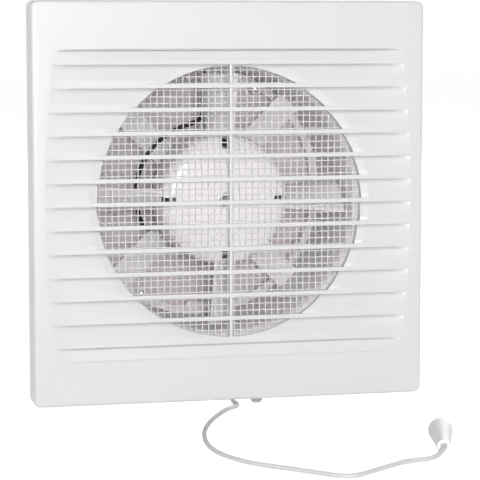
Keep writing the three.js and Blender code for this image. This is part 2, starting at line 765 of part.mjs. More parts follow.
function motorLead() {
  const exit = [0.8, 3.5, 7.2].map((lift) => {
    return polar(motorRadius + lift, leadExitAngle - lift * 1.2, leadExitDepth);
  });
  const sweep = [200, 184, 166, 148, 130, 112].map((angle) => {
    return polar(leadSweepRadius, angle, leadExitDepth - 1.5);
  });
  return wire([
    ...exit,
    ...sweep,
    at(-3, leadExitDepth - 1.2, leadSweepRadius + 1.4),
    at(-0.3, leadDepth - 3, leadSweepRadius + 5.9),
    at(0, leadDepth, ductInnerRadius - 16),
    at(0, leadDepth, ductInnerRadius - 9),
    at(0, leadDepth, ductInnerRadius),
    at(0, leadDepth - 0.1, ductOuterRadius),
    at(0, leadDepth - 1.4, leadOutside),
    at(0, leadDepth - 5, leadOutside),
    at(0, wallPlane + 25, leadOutside),
    at(0, wallPlane + 11, leadOutside),
    at(0, wallPlane + 4, leadHoleZ - 0.6),
    at(0, wallPlane + 0.5, leadHoleZ),
    at(0, flangeFront, leadHoleZ),
    at(-1, boxDepth + 0.9, leadHoleZ + 0.1),
    at(-4.5, boxDepth, leadHoleZ + 0.6),
    at(-20, boxDepth, leadHoleZ + 3.2),
    at(-40, boxDepth, leadHoleZ + 4.2),
    at(blockEnd + 5, boxDepth, blockZ),
    at(blockEnd + seatGap, boxDepth, blockZ),
  ], leadRadius, 6, 46);
}

const switchLeft = -8.6;
const switchRight = 8.6;
const switchLeadRadius = 0.9;
const switchLeadDepth = 10.8;

function switchLead() {
  const bottom = blockZ - blockHalfHeight - seatGap;
  const top = blockX + 5;
  const entry = -half + 14;
  const round = [180, 200, 216, 230, 243, 252].map((angle) => {
    return polar(mouthOuterRadius + 7.5 + (angle - 180) / 12, angle, switchLeadDepth);
  });
  return wire([
    at(top, switchLeadDepth - 0.4, bottom),
    at(top - 0.5, switchLeadDepth - 0.4, bottom - 6),
    at(top - 3.5, switchLeadDepth, bottom - 20),
    at(top - 7.5, switchLeadDepth, bottom - 41),
    ...round,
    at(switchLeft - 6.4, switchLeadDepth - 0.4, entry),
    at(switchLeft - seatGap, switchLeadDepth - 0.4, entry),
  ], switchLeadRadius, 6, 28);
}

piece("motor_lead", motorLead(), plastics.black);
piece("switch_lead", switchLead(), plastics.black);

const terminalOffsets = [-6, 0, 6];
const terminalXs = terminalOffsets.map((offset) => blockX + offset);
const terminalHead = 1.35;

function terminalBlock() {
  const [low, high] = [blockZ - blockHalfHeight, blockZ + blockHalfHeight];
  const body = box(blockX - blockHalfWidth, blockEnd, boxDepthFrom + 1.4, boxDepthTo, low, high);
  const towers = terminalXs.map((x) => {
    return box(x - 2.3, x + 2.3, boxDepthFrom, boxDepthTo - 1, low + 1.8, high - 1.8);
  });
  const wells = terminalXs.map((x) => {
    return rod(terminalHead + holeGap, boxDepthFrom - 1, boxDepthFrom + 4.4, x, blockZ, 12);
  });
  return cut(joined(body, ...towers), ...wells);
}

piece("terminal_block", terminalBlock(), plastics.switchGrey);
["left", "middle", "right"].forEach((name, i) => {
  const x = terminalXs[i];
  const head = rod(terminalHead, boxDepthFrom + 1.2, boxDepthFrom + 4.1, x, blockZ, 10);
  const slot = box(x - 2, x + 2, boxDepthFrom, boxDepthFrom + 1.9, blockZ - 0.25, blockZ + 0.25);
  piece("terminal_screw_" + name, cut(head, slot), metals.screw);
});

// ---- Supply cable entry and clamp ----------------------------------------------------------------

piece("cable_grommet", joined(
  ring(entryRadius - 1.2, entryRadius, flangeFront - 1.4, wallPlane - 0.1, 16),
  ring(entryRadius - 1.2, entryRadius + 1.3, flangeFront - 1.4, flangeFront - seatGap, 16),
).translate([entryX, 0, entryZ]), plastics.black);

const clampPlane = clampPostFront - seatGap;
const clampScrews = [entryX - clampOffset, entryX + clampOffset];
piece("cable_clamp", cut(
  box(entryX - 7, entryX + 7, clampPlane - 1.6, clampPlane, clampZ - 2.6, clampZ + 2.6),
  ...clampScrews.map((x) => rod(clampScrewRadius + holeGap, clampPlane - 3, clampPlane + 1, x, clampZ, 10)),
), plastics.switchGrey);
clampScrews.forEach((x, i) => {
  const shank = rod(clampScrewRadius, clampPlane - 2, flangeFront - 0.5, x, clampZ, 8);
  const head = rod(1.9, clampPlane - 3.1, clampPlane - 1.6 - 0.1, x, clampZ, 10);
  piece(i === 0 ? "clamp_screw_left" : "clamp_screw_right", joined(shank, head), metals.screw);
});

// ---- Pull-cord switch ---------------------------------------------------------------------------

const plungerHalf = 1.5;
const collarHalf = chamberHalf - runningGap;
const plungerDepth = cordDepth + 0.3;
const lidThickness = 1;
const eyeHalf = 2.6;
const pocketHalf = 1.3; // room for the cord's knot above the eye

function switchBody() {
  const body = box(switchLeft, switchRight, boxDepthFrom, boxDepthTo, switchBottom, switchTop);
  const chamber = box(
    cordX - chamberHalf,
    cordX + chamberHalf,
    boxDepthFrom - 1,
    plungerDepth + chamberHalf,
    chamberBottom,
    chamberTop,
  );
  const neck = box(
    cordX - plungerHalf - runningGap,
    cordX + plungerHalf + runningGap,
    boxDepthFrom - 1,
    plungerDepth + plungerHalf + runningGap,
    switchBottom - 1,
    chamberBottom + 1,
  );
  const screwHoles = switchScrewZ.map((z) => {
    return rod(switchScrewRadius + holeGap, boxDepthFrom - 1, boxDepthTo + 1, switchScrewX, z, 10);
  });
  return cut(body, chamber, neck, ...screwHoles);
}

// The plunger hangs in the body: a collar over the spring, a square stem and an eye for the cord.
function switchPlunger() {
  const collar = box(
    cordX - collarHalf,
    cordX + collarHalf,
    plungerDepth - collarHalf + 0.3,
    plungerDepth + collarHalf,
    collarTop - collarThickness,
    collarTop,
  );
  const stem = box(
    cordX - plungerHalf,
    cordX + plungerHalf,
    plungerDepth - plungerHalf,
    plungerDepth + plungerHalf,
    eyeTop - 1,
    collarTop - 0.5,
  );
  const eye = box(
    cordX - eyeHalf,
    cordX + eyeHalf,
    cordDepth - eyeHalf,
    cordDepth + eyeHalf,
    eyeTop - eyeThickness,
    eyeTop,
  );
  const cordHole = cordDiameter / 2 + holeGap;
  const bore = post(cordHole, eyeTop - eyeThickness - 1, collarTop - 4, cordX, cordDepth, 12);
  const pocket = box(
    cordX - pocketHalf,
    cordX + pocketHalf,
    plungerDepth - plungerHalf - 1,
    cordDepth + pocketHalf,
    eyeTop + 0.6,
    eyeTop + 4.4,
  );
  return cut(joined(collar, stem, eye), bore, pocket);
}

// A round-wire compression spring between the collar and the floor of the chamber.
function leverSpring() {
  const turns = 4;
  const stepsPerTurn = 8;
  const wireRadius = 0.28;
  const radius = 2.55;
  const low = chamberBottom + seatGap + wireRadius;
  const high = collarTop - collarThickness - seatGap - wireRadius;
  const points = [];
  for (let i = 0; i <= turns * stepsPerTurn; i += 1) {
    const angle = (2 * Math.PI * i) / stepsPerTurn;
    const height = low + ((high - low) * i) / (turns * stepsPerTurn);
    points.push(at(cordX + radius * Math.cos(angle), plungerDepth + radius * Math.sin(angle), height));
  }
  const least = turnGap(points, wireRadius, stepsPerTurn);
  console.log("plunger_spring: least gap to itself " + least.toFixed(2) + " mm");
  return wire(points, wireRadius, 5, turns * stepsPerTurn);
}

const lidFront = boxDepthFrom - seatGap - lidThickness;
piece("switch_body", switchBody(), plastics.switchGrey);
piece("switch_lid", cut(
  box(switchLeft, switchRight, lidFront, lidFront + lidThickness, switchBottom, switchTop),
  ...switchScrewZ.map((z) => rod(switchScrewRadius + holeGap, 0, boxDepthFrom, switchScrewX, z, 10)),
), plastics.switchGrey);
piece("switch_plunger", switchPlunger(), plastics.white);
piece("plunger_spring", leverSpring(), metals.steel);
switchScrewZ.forEach((z, i) => {
  const shank = rod(switchScrewRadius, lidFront - 0.4, wallPlane - 0.6, switchScrewX, z, 8);
  const head = rod(2 * switchScrewRadius, lidFront - 1.2, lidFront - 0.1, switchScrewX, z, 10);
  piece(i === 0 ? "switch_screw_upper" : "switch_screw_lower", joined(shank, head), metals.screw);
});

// ---- Cover screw and cord guide -----------------------------------------------------------------

function coverScrew() {
  const underside = -half - seatGap;
  const head = turned([
    [0, 0],
    [screwHeadRadius - 1.1, 0],
    [screwHeadRadius, 1],
    [screwHeadRadius, screwStandoff - seatGap],
    [0, screwStandoff - seatGap],
  ], 20);
  const upright = head.rotate([90, 0, 0]).translate([screwX, screwDepth, -half - screwStandoff]);
  const shank = post(screwRadius, underside - 0.5, bossTop - 3, screwX, screwDepth, 10);
  const crossTop = -half - screwStandoff + 1.1;
  const cross = [[1.7, 0.35], [0.35, 1.7]].map(([dx, dy]) => {
    return box(screwX - dx, screwX + dx, screwDepth - dy, screwDepth + dy, crossTop - 2, crossTop);
  });
  return cut(joined(upright, shank), ...cross);
}

piece("cover_screw", coverScrew(), metals.screw);

const guideBore = cordDiameter / 2 + holeGap;
const guideFlareHeight = 2.2;
const guideFlareWidth = 1.2;

// The guide's mouth widens downwards, so that the cord can be pulled to any side.
function guideFlare() {
  const cone = new THREE.CylinderGeometry(guideBore, guideBore + guideFlareWidth, guideFlareHeight, 12);
  cone.rotateX(Math.PI / 2);
  return solid(cone.translate(cordX, cordDepth, guideLow + guideFlareHeight / 2 - 0.05));
}

const guideLow = -half - 0.9;
const guideHigh = eyeLow - leverTravel - seatGap; // the pulled eye stops just above it
piece("cord_guide", cut(
  joined(
    post(guideRadius, guideLow, guideHigh, cordX, cordDepth, 16),
    post(guideRadius + 1, guideLow, -half - seatGap, cordX, cordDepth, 16),
  ),
  post(guideBore, guideLow - 1, guideHigh + 1, cordX, cordDepth, 12),
  guideFlare(),
), plastics.white);

// ---- Pull cord and knob -------------------------------------------------------------------------

// The cord's route in the object's own frame: down through the guide, then over the floor in front.
const floorGap = 0.1; // the cord and its knob lie just clear of the floor
const floorLine = cordDiameter / 2 + floorGap;
const knotHeight = axisHeight + eyeTop + 1.9;
const cordRoute = [
  [cordX, cordDepth, knotHeight],
  [cordX, cordDepth, 12],
  [cordX, cordDepth, 8],
  [cordX, cordDepth, 4.2],
  [cordX, cordDepth - 0.15, 2.7],
  [cordX + 0.1, cordDepth - 1.2, 1.4],
  [cordX + 0.3, cordDepth - 2.9, floorLine],
  [cordX + 0.7, 1.4, floorLine],
  [1.2, -4.2, floorLine],
  [-4.8, -11.4, floorLine],
  [-13.4, -26.5, floorLine],
  [-21.4, -44.5, floorLine],
  [-27.2, -62.3, floorLine],
  [-30.6, -79, floorLine],
  [-31.9, -95.5, floorLine],
  [-30.6, -108.3, floorLine],
  [-27.2, -119.3, floorLine],
  [-22.9, -128.2, floorLine],
  [-17.7, -134.9, floorLine],
  [-11.8, -141.2, floorLine],
  [-5.9, -148, floorLine],
  [-1.2, -153.8, floorLine],
  [2.9, -158.2, floorLine],
  [6.8, -160.2, floorLine],
  [11.4, -158.9, floorLine],
  [19.3, -153, floorLine],
  [28.4, -145.6, floorLine],
  [36.5, -139.8, floorLine],
  [42.2, -137.9, floorLine],
  [47, -136.4, floorLine],
  [51.8, -132.8, 1.2],
  [55.4, -128.8, 2.1],
].map(([x, y, z]) => at(x, y, z - axisHeight));

const knobLength = 28;
const knobRadius = 5;
const knobNeckRadius = 2.85;
const knobWaist = 22.6; // from the narrow end to the widest section
const knobNose = at(57.7, -124.2, 0); // under the middle of the narrow end
const knobHeading = 74.1; // degrees from +X towards +Y, from the narrow end to the wide one

function pullCord() {
  const last = cordRoute[cordRoute.length - 1];
  const nose = knobPlace(at(0, -seatGap, 0));
  const approach = knobPlace(at(0, -2.4, 0));
  const route = [...cordRoute.slice(0, -1), last.clone().lerp(approach, 0.35), approach, nose];
  return wire(route, cordDiameter / 2, 8, 64);
}

// Half of the knob's section: [radius, distance from the narrow end].
const knobOutline = [
  [knobNeckRadius - 0.4, 0],
  [knobNeckRadius, 0.5],
  [3.2, 6],
  [4.05, 14],
  [4.7, 19.4],
  [knobRadius, knobWaist],
  [4.75, knobLength - 3],
  [3.7, knobLength - 1.2],
  [2, knobLength - 0.25],
  [0, knobLength],
];

// From the knob's own frame, +Y along its length from the narrow end, to its place on the floor.
// It lies on its side, tipped so that its neck and its widest section both touch the floor.
const knobTilt = Math.atan2(knobRadius - knobNeckRadius, knobWaist - knobOutline[1][1]);
function knobMatrix() {
  const sag = ([radius, along]) => radius * Math.cos(knobTilt) - along * Math.sin(knobTilt);
  const lift = Math.max(...knobOutline.map(sag)) + floorGap;
  const turn = new THREE.Matrix4().makeRotationZ(THREE.MathUtils.degToRad(knobHeading - 90));
  const tip = new THREE.Matrix4().makeRotationX(knobTilt);
  const move = new THREE.Matrix4().makeTranslation(knobNose.x, knobNose.y, lift - axisHeight);
  return move.multiply(turn).multiply(tip);
}

function knobPlace(point) {
  return point.applyMatrix4(knobMatrix());
}

function pullKnob() {
  const bore = cordDiameter / 2 + holeGap;
  const profile = [[bore, 0], ...knobOutline, [0, 6.5], [bore, 6]];
  const points = profile.map(([radius, along]) => new THREE.Vector2(radius, along));
  points.push(points[0].clone());
  return solid(new THREE.LatheGeometry(points, 16).applyMatrix4(knobMatrix()));
}

piece("pull_cord", pullCord(), plastics.cord);
piece("pull_knob", pullKnob(), plastics.knob);

// ---- Backdraught shutter ------------------------------------------------------------------------

const ringFront = 66;
const ringRear = 72;
const ringWidth = 3.7;
const ringInner = ductInnerRadius - seatGap - ringWidth;
const pinDepth = ringRear + 4.3;
const pinRadius = 1.2;
const knuckleRadius = 2.2;
const leafThickness = 1.2;
const leafRadius = ductInnerRadius - 1.6;
const leafFront = ringRear + 0.4;
const leafBack = leafFront + leafThickness;
const bossHeight = leafRadius - 3.4; // the pin's bosses start at this height above and below the axis
const bossLength = 4.2;
const tabHalfWidth = 6.5; // the ring's tabs cover the notches that clear the bosses
const notchHalfWidth = 5.4;
const notchStart = bossHeight - 1;
const tabStart = notchStart - 0.8;

const ringScrewAngles = [60, 150, 240, 330];
const ringScrews = ringScrewAngles.map((angle) => polar(ringInner + 0.3, angle, 0));
const ringScrewRadius = 0.8;
const ringPad = 1.2; // the screws' pads stand out by this

function shutterRing() {
  const frame = ring(ringInner, ductInnerRadius - seatGap, ringFront, ringRear, 36);
  const bosses = [-1, 1].map((side) => {
    const from = side > 0 ? bossHeight : -bossHeight - bossLength;
    return box(-2.8, 2.8, ringRear - 1, pinDepth + 1.9, from, from + bossLength);
  });
  const tabs = [-1, 1].map((side) => {
    const ends = [side * tabStart, side * (ringInner + 1)];
    return box(-tabHalfWidth, tabHalfWidth, ringFront, ringRear, Math.min(...ends), Math.max(...ends));
  });
  const screwBosses = ringScrews.map((p) => rod(2.8, ringFront - ringPad, ringRear - 1, p.x, p.z, 8));
  const pilots = ringScrews.map((p) => {
    return rod(ringScrewRadius + holeGap, ringFront - 2, ringRear + 1, p.x, p.z, 6);
  });
  return cut(
    joined(frame, ...tabs, ...bosses, ...screwBosses),
    ...pilots,
    post(pinRadius + 0.3, -leafRadius - 0.2, leafRadius + 0.2, 0, pinDepth, 12),
  );
}

piece("shutter_ring", shutterRing(), plastics.frame);
ringScrews.forEach((p, i) => {
  const underHead = ringFront - ringPad - 0.1;
  const head = rod(1.7, underHead - 1, underHead, p.x, p.z, 10);
  const shank = rod(ringScrewRadius, ringFront - 2, ringRear - 1.5, p.x, p.z, 8);
  piece("ring_screw_" + (i + 1), joined(head, shank), metals.screw);
});
piece("shutter_pin", post(pinRadius, -leafRadius, leafRadius, 0, pinDepth, 12), metals.steel);

// Knuckles alternate up the pin: [from, to] heights of the right leaf's, and the left leaf's between.
const knuckles = { right: [[26, 38], [-14, -2]], left: [[12.5, 24.5], [-38, -26]] };
const springSeat = { right: [0, 10], left: [-25, -15] };

function leaf(side) {
  const name = side > 0 ? "right" : "left";
  const outline = new THREE.Shape();
  const inner = 0.5;
  const start = Math.acos(inner / leafRadius);
  outline.absarc(0, 0, leafRadius, -start, start, false);
  outline.closePath();
  const plate = slab(outline, leafFront, leafBack, 8);
  const notches = [-1, 1].map((end) => {
    const from = end > 0 ? notchStart : -leafRadius - 1;
    return box(-1, notchHalfWidth, leafFront - 1, leafFront + 4, from, from + leafRadius + 1 - notchStart);
  });
  const ribs = [-30, 0, 30].map((z) => {
    const reach = Math.sqrt(leafRadius ** 2 - z ** 2) - 4;
    return box(4, reach, leafBack - 0.2, leafBack + 1.2, z - 0.6, z + 0.6);
  });
  const tubes = knuckles[name].map(([from, to]) => {
    return joined(
      post(knuckleRadius, from, to, 0, pinDepth, 14),
      box(0.6, knuckleRadius + 1.6, leafFront + 0.3, pinDepth, from, to),
    );
  });
  const made = cut(
    joined(cut(plate, ...notches), ...ribs, ...tubes),
    post(pinRadius + 0.3, -leafRadius - 1, leafRadius + 1, 0, pinDepth, 12),
  );
  return side > 0 ? made : mirrored(made);
}

function mirrored(shape) {
  return shape.scale([-1, 1, 1]);
}

// A light torsion spring round the pin, with one leg along the back of its leaf.
function leafSpring(side) {
  const [low, high] = springSeat[side > 0 ? "right" : "left"];
  const turns = 3;
  const stepsPerTurn = 8;
  const wireRadius = 0.3;
  const radius = pinRadius + 0.75;
  const points = [];
  const from = low + 1.6;
  const to = high - 1.6;
  for (let i = 0; i <= turns * stepsPerTurn; i += 1) {
    const angle = (2 * Math.PI * i) / stepsPerTurn + Math.PI;
    const height = from + ((to - from) * i) / (turns * stepsPerTurn);
    points.push(at(radius * Math.cos(angle), pinDepth + radius * Math.sin(angle), height));
  }
  const least = turnGap(points, wireRadius, stepsPerTurn);
  console.log("leaf spring: least gap to itself " + least.toFixed(2) + " mm");
  const behind = leafBack + 0.5 + wireRadius;
  points.push(
    at(-1.2, behind + 0.6, to + 0.3),
    at(1.5, behind + 0.1, to + 0.4),
    at(5, behind, to + 0.4),
    at(13, behind, to + 0.4),
  );
  const made = wire(points, wireRadius, 5, turns * stepsPerTurn + 6);
  return side > 0 ? made : mirrored(made);
}

[1, -1].forEach((side) => {
  const name = side > 0 ? "right" : "left";
  piece("leaf_" + name, leaf(side), plastics.leaf);
  piece("leaf_spring_" + name, leafSpring(side), metals.steel);
});

export default object;
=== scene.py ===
"""Window exhaust fan: the dressed pieces that stand for the fan's solids, their finishes and the stage."""

import json
import math
from functools import cache
from itertools import pairwise

import bmesh
import bpy
from bpy.props import FloatProperty, FloatVectorProperty, IntProperty, PointerProperty, StringProperty
from mathutils import Matrix, Vector


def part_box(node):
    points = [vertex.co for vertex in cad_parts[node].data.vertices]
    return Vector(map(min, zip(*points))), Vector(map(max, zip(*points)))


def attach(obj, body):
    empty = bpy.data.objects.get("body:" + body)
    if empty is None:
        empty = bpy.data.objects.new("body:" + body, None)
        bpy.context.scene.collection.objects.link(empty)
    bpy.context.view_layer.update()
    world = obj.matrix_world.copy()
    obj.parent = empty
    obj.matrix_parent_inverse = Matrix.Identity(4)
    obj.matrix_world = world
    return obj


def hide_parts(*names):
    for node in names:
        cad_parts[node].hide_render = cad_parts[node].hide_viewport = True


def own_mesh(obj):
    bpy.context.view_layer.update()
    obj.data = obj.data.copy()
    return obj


bl_info = {
    "name": "Window Exhaust Fan",
    "version": (1, 0, 0),
    "blender": (4, 5, 0),
    "location": "View3D > Sidebar > Fan",
    "description": "Builds a louvred exhaust fan with its net, impeller, duct, shutter and pull cord",
    "category": "Add Mesh",
}

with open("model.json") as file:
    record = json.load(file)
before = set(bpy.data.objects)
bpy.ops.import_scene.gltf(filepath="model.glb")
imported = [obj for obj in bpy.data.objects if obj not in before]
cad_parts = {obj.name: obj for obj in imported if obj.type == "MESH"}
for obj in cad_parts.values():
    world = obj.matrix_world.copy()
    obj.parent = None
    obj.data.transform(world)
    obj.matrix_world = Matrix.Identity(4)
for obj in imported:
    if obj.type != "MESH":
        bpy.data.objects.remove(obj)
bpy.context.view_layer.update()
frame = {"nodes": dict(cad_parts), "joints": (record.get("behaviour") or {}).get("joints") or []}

# ---- Places that come from the frame ----

JOINTS = {joint["name"]: joint for joint in frame["joints"]}
MM = 0.001
AXIS_HEIGHT = JOINTS["rotor_spin"]["pos_m"][2]
FRONT_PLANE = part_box("front_cover")[0].y
TO_ROW = Matrix.Translation((0, FRONT_PLANE, AXIS_HEIGHT)) @ Matrix.Scale(MM, 4)


def reach(node):
    """A node's lowest and highest corner in millimetres, in the fan's own frame: x, depth, height."""
    back = TO_ROW.inverted()
    return [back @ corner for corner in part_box(node)]


def middle(node):
    """The middle of a node's box, in the same frame."""
    return [(low + high) / 2 for low, high in zip(*reach(node))]


COVER_HIGH = reach("front_cover")[1]
HALF = COVER_HIGH.x
NET_LOW, NET_HIGH = reach("insect_net")
RIM, DEPTH, _ = reach("base_housing")[1]
HUB_LOW, HUB_HIGH = reach("impeller")
PIN_LOW, PIN_HIGH = reach("shutter_pin")
LUGS = (-55, 55)  # how far the snap lugs and their windows stand from the middle
LEAD_RAISED = 0.2  # how far the motor's lead lies in front of the bracket's plane
LEAD_HOLE = 1.4  # radius of the holes that the motor's lead runs through
BOLT_HOLE = 1.65  # radius of the holes of the motor's bolts
CORD_PLAY = 0.4  # room round the cord in its guide and in the knob


# ---- Sizes and colours that a user would change ----


def size(name, default, description):
    return FloatProperty(name=name, default=default, min=0, description=description + ", in millimetres")


def colour(name, default, description):
    return StringProperty(name=name, default=default, description=description + ", as an sRGB hex value")


class CoverSettings(bpy.types.PropertyGroup):
    """The louvred front cover."""

    wall: size("Wall", 2, "Thickness of the cover's walls")
    corner: size("Corner radius", 3, "Radius of the four corners")
    edge: size("Edge radius", 1.2, "Radius of the front edge")
    opening: size("Opening radius", 62, "Radius of the round opening")
    overhang: size("Overhang", 0.9, "How far the sheet's edge reaches in past the collar")
    mouth: size("Mouth radius", 64.9, "Radius at which the strips turn in to the opening")
    pitch: size("Louvre pitch", 10.48, "Distance between lips")
    lip: size("Lip height", 2, "Height of the flat lip of each louvre")
    depth: size("Louvre depth", 2.6, "Depth of the step behind each lip")
    narrow: size("Narrow strip", 6.6, "Height of the uppermost strip")
    top: size("Field top", 68.3, "Height of the field's upper edge above the axis")
    side: size("Field half width", 84.5, "Half of the field's width at mid height")
    bow: size("Field bow", 4.5, "How much narrower the field is at top and bottom")
    colour: colour("Colour", "#E2E2E3", "Moulded white")


class NetSettings(bpy.types.PropertyGroup):
    """The insect net."""

    pitch: size("Pitch", 2.95, "Distance between the net's wires")
    wire: size("Wire", 0.48, "Thickness of a wire")
    wave: size("Wave", 0.9, "How far the wires drift from their straight lines")
    colour: colour("Colour", "#F4F2F3", "Moulded white mesh")


class ImpellerSettings(bpy.types.PropertyGroup):
    """The impeller."""

    hub: size("Hub radius", 30, "Radius of the hub")
    tip: size("Tip radius", 57.5, "Radius of the blades' tips")
    slot_radius: size("Slot radius", 26.2, "Distance of the hub's slots from the axis")
    blades: IntProperty(name="Blades", default=4, min=1, description="Number of blades")
    colour: colour("Colour", "#F1EEEF", "Glossy moulded white")


class DuctSettings(bpy.types.PropertyGroup):
    """The housing with its spigot and arms, and the shutter."""

    inner: size("Duct radius", 60, "Bore of the spigot")
    wall: size("Spigot wall", 2, "Thickness of the spigot's wall")
    arm_width: size("Arm width", 12, "Width of a motor arm")
    bracket: size("Bracket depth", 58, "Depth of the plane that the motor stands on")
    leaf: size("Leaf radius", 58.4, "Radius of the two shutter leaves")
    leaf_colour: colour("Leaf colour", "#E9E1E0", "Moulded pale grey leaf")
    # painted light: the housing's white is set lighter than the cover's, though both are the same ABS, to make up for
    # the shade inside the duct
    colour: colour("Housing colour", "#F9F6F7", "Moulded white housing")
    frame_colour: colour("Ring colour", "#F1EEEC", "Moulded shutter ring")


class CordSettings(bpy.types.PropertyGroup):
    """The pull cord and its knob."""

    diameter: size("Cord diameter", 1.8, "Thickness of the pull cord")
    knob_length: size("Knob length", 28, "Length of the pull knob")
    knob_radius: size("Knob radius", 5, "Radius of the knob's widest section")
    colour: colour("Cord colour", "#FAF9F8", "Braided cord")
    knob_colour: colour("Knob colour", "#FCFCFB", "Moulded knob")


class StageSettings(bpy.types.PropertyGroup):
    """The floor, the lights and the camera."""

    lens: FloatProperty(name="Lens", default=159.6, min=1, unit="CAMERA", description="Focal length")
    camera: FloatVectorProperty(name="Camera", default=(-0.2265, -0.9658, 0.1729), subtype="XYZ", unit="LENGTH",
                                description="Where the camera stands")
    yaw: FloatProperty(name="Yaw", default=13.97, description="Degrees that the camera looks right of +Y")
    pitch: FloatProperty(name="Pitch", default=5.81, description="Degrees that the camera looks down")
    ambient: FloatProperty(name="Ambient", default=0.13, min=0, description="Strength of the white surroundings")
    key: FloatProperty(name="Lamps", default=1.0, min=0, description="Share of each lamp's power")


SETTINGS = {
    "fan_cover": CoverSettings, "fan_net": NetSettings, "fan_impeller": ImpellerSettings, "fan_duct": DuctSettings,
    "fan_cord": CordSettings, "fan_stage": StageSettings,
}


# ---- Meshes, in millimetres in the fan's own frame: x, depth behind the front face, height ----


def object_of(name, data):
    made = bpy.data.objects.new(name, data)
    bpy.context.scene.collection.objects.link(made)
    return made


def object_from(bm, name="work"):
    mesh = bpy.data.meshes.new(name)
    bm.to_mesh(mesh)
    bm.free()
    return object_of(name, mesh)


def closed(bm, name="work"):
    """A bmesh as an object, its doubles merged and its faces turned outwards."""
    bmesh.ops.remove_doubles(bm, verts=bm.verts, dist=1e-4)
    bmesh.ops.dissolve_degenerate(bm, edges=bm.edges, dist=1e-5)
    bmesh.ops.recalc_face_normals(bm, faces=bm.faces)
    return object_from(bm, name)


def shifted(obj, by):
    obj.data.transform(Matrix.Translation(by))
    return obj


def swung(obj, degrees, axis):
    obj.data.transform(Matrix.Rotation(math.radians(degrees), 4, axis))
    return obj


def on_circle(radius, degrees):
    """A point of a circle: across and up."""
    a = math.radians(degrees)
    return radius * math.cos(a), radius * math.sin(a)


def around(radius, degrees, depth):
    """A point at a depth, on a circle round the fan's axis."""
    x, z = on_circle(radius, degrees)
    return x, depth, z


def box(x0, x1, y0, y1, z0, z1, soft=0.0, turn=0.0):
    """A block with round edges, turned about the fan's axis by some degrees."""
    bm = bmesh.new()
    bmesh.ops.create_cube(bm, size=1)
    bmesh.ops.scale(bm, vec=(x1 - x0, y1 - y0, z1 - z0), verts=bm.verts)
    bmesh.ops.translate(bm, vec=((x0 + x1) / 2, (y0 + y1) / 2, (z0 + z1) / 2), verts=bm.verts)
    if soft > 0:
        bmesh.ops.bevel(bm, geom=bm.edges[:], offset=soft, segments=3, profile=0.5, affect="EDGES",
                        clamp_overlap=True)
    bmesh.ops.rotate(bm, matrix=Matrix.Rotation(math.radians(-turn), 3, "Y"), verts=bm.verts)
    return closed(bm)


def skinned(bm, rings):
    """Faces between rings of vertices, each ring closed on itself."""
    faces = []
    for first, second in pairwise(rings):
        for i in range(len(first)):
            j = (i + 1) % len(first)
            corners = list(dict.fromkeys((first[i], first[j], second[j], second[i])))
            if len(corners) > 2:
                faces.append(bm.faces.new(corners))
    return faces


def turned(profile, segments=128):
    """A profile of (radius, depth) points turned round the fan's axis; off the axis it closes on itself."""
    bm = bmesh.new()
    angles = [2 * math.pi * i / segments for i in range(segments)]
    rings = []
    for radius, depth in profile:
        if radius > 0:
            rings.append([bm.verts.new((radius * math.cos(a), depth, radius * math.sin(a))) for a in angles])
        else:
            rings.append([bm.verts.new((0, depth, 0))] * segments)
    if profile[0][0] > 0:
        rings.append(rings[0])
    skinned(bm, rings)
    return closed(bm)


def rod(radius, start, end, x=0.0, z=0.0, soft=0.0, segments=48):
    """A round rod along the fan's axis, with softened ends."""
    profile = [(0, start), (radius - soft, start), (radius, start + soft), (radius, end - soft),
               (radius - soft, end), (0, end)]
    return shifted(turned(profile, segments), (x, 0, z))


def post(radius, start, end, x, y, soft=0.0, segments=48):
    """A round post along the upright, from one height to another."""
    return shifted(swung(rod(radius, start, end, 0, 0, soft, segments), 90, "X"), (x, y, 0))


def filleted(points, radius, steps=4):
    """A closed outline's corners rounded by short curves, as far as its edges allow."""
    rounded = []
    many = len(points)
    for i, corner in enumerate(points):
        before, here, after = (Vector(points[(i + k) % many]) for k in (-1, 0, 1))
        back = min(radius, 0.45 * min((before - here).length, (after - here).length))
        if back < 1e-3:
            rounded.append(tuple(corner))
            continue
        start = here + (before - here).normalized() * back
        end = here + (after - here).normalized() * back
        for k in range(steps + 1):
            t = k / steps
            rounded.append(tuple(start * (1 - t) ** 2 + here * 2 * t * (1 - t) + end * t ** 2))
    return rounded


def hoop(inside, outside, front, back, soft, steps=4, segments=160):
    """A flat ring round the fan's axis with round edges."""
    corners = [(inside, front), (outside, front), (outside, back), (inside, back)]
    return turned(filleted(corners, soft, steps), segments)


def rounded_square(half, radius, steps=8):
    """Corners of a square with round corners, as (x, height)."""
    points = []
    for quarter in range(4):
        for k in range(steps + 1):
            angle = math.pi / 2 * (quarter + k / steps)
            cx = (half - radius) * (1 if quarter in (0, 3) else -1)
            cz = (half - radius) * (1 if quarter in (0, 1) else -1)
            points.append((cx + radius * math.cos(angle), cz + radius * math.sin(angle)))
    return points


def loft(rows):
    """A skin over rows of points, each closed on itself, with a cap at each end."""
    bm = bmesh.new()
    made = [[bm.verts.new(point) for point in row] for row in rows]
    skinned(bm, made)
    for end in (0, -1):
        bm.faces.new(made[end])
    return closed(bm)


def stacked(levels):
    """A loft through outlines of (x, height) points, each at its depth."""
    return loft([[(x, depth, z) for x, z in outline] for depth, outline in levels])


def slab(outline, start, end, soft=0.0):
    """An outline of (x, height) points made thick along the depth, its two rims softened."""
    inner = outline
    if soft > 0:
        centre = sum((Vector(p) for p in outline), Vector((0, 0))) / len(outline)
        inner = [tuple(Vector(p) + (centre - Vector(p)).normalized() * soft) for p in outline]
    return stacked([(start, inner), (start + soft, outline), (end - soft, outline), (end, inner)])


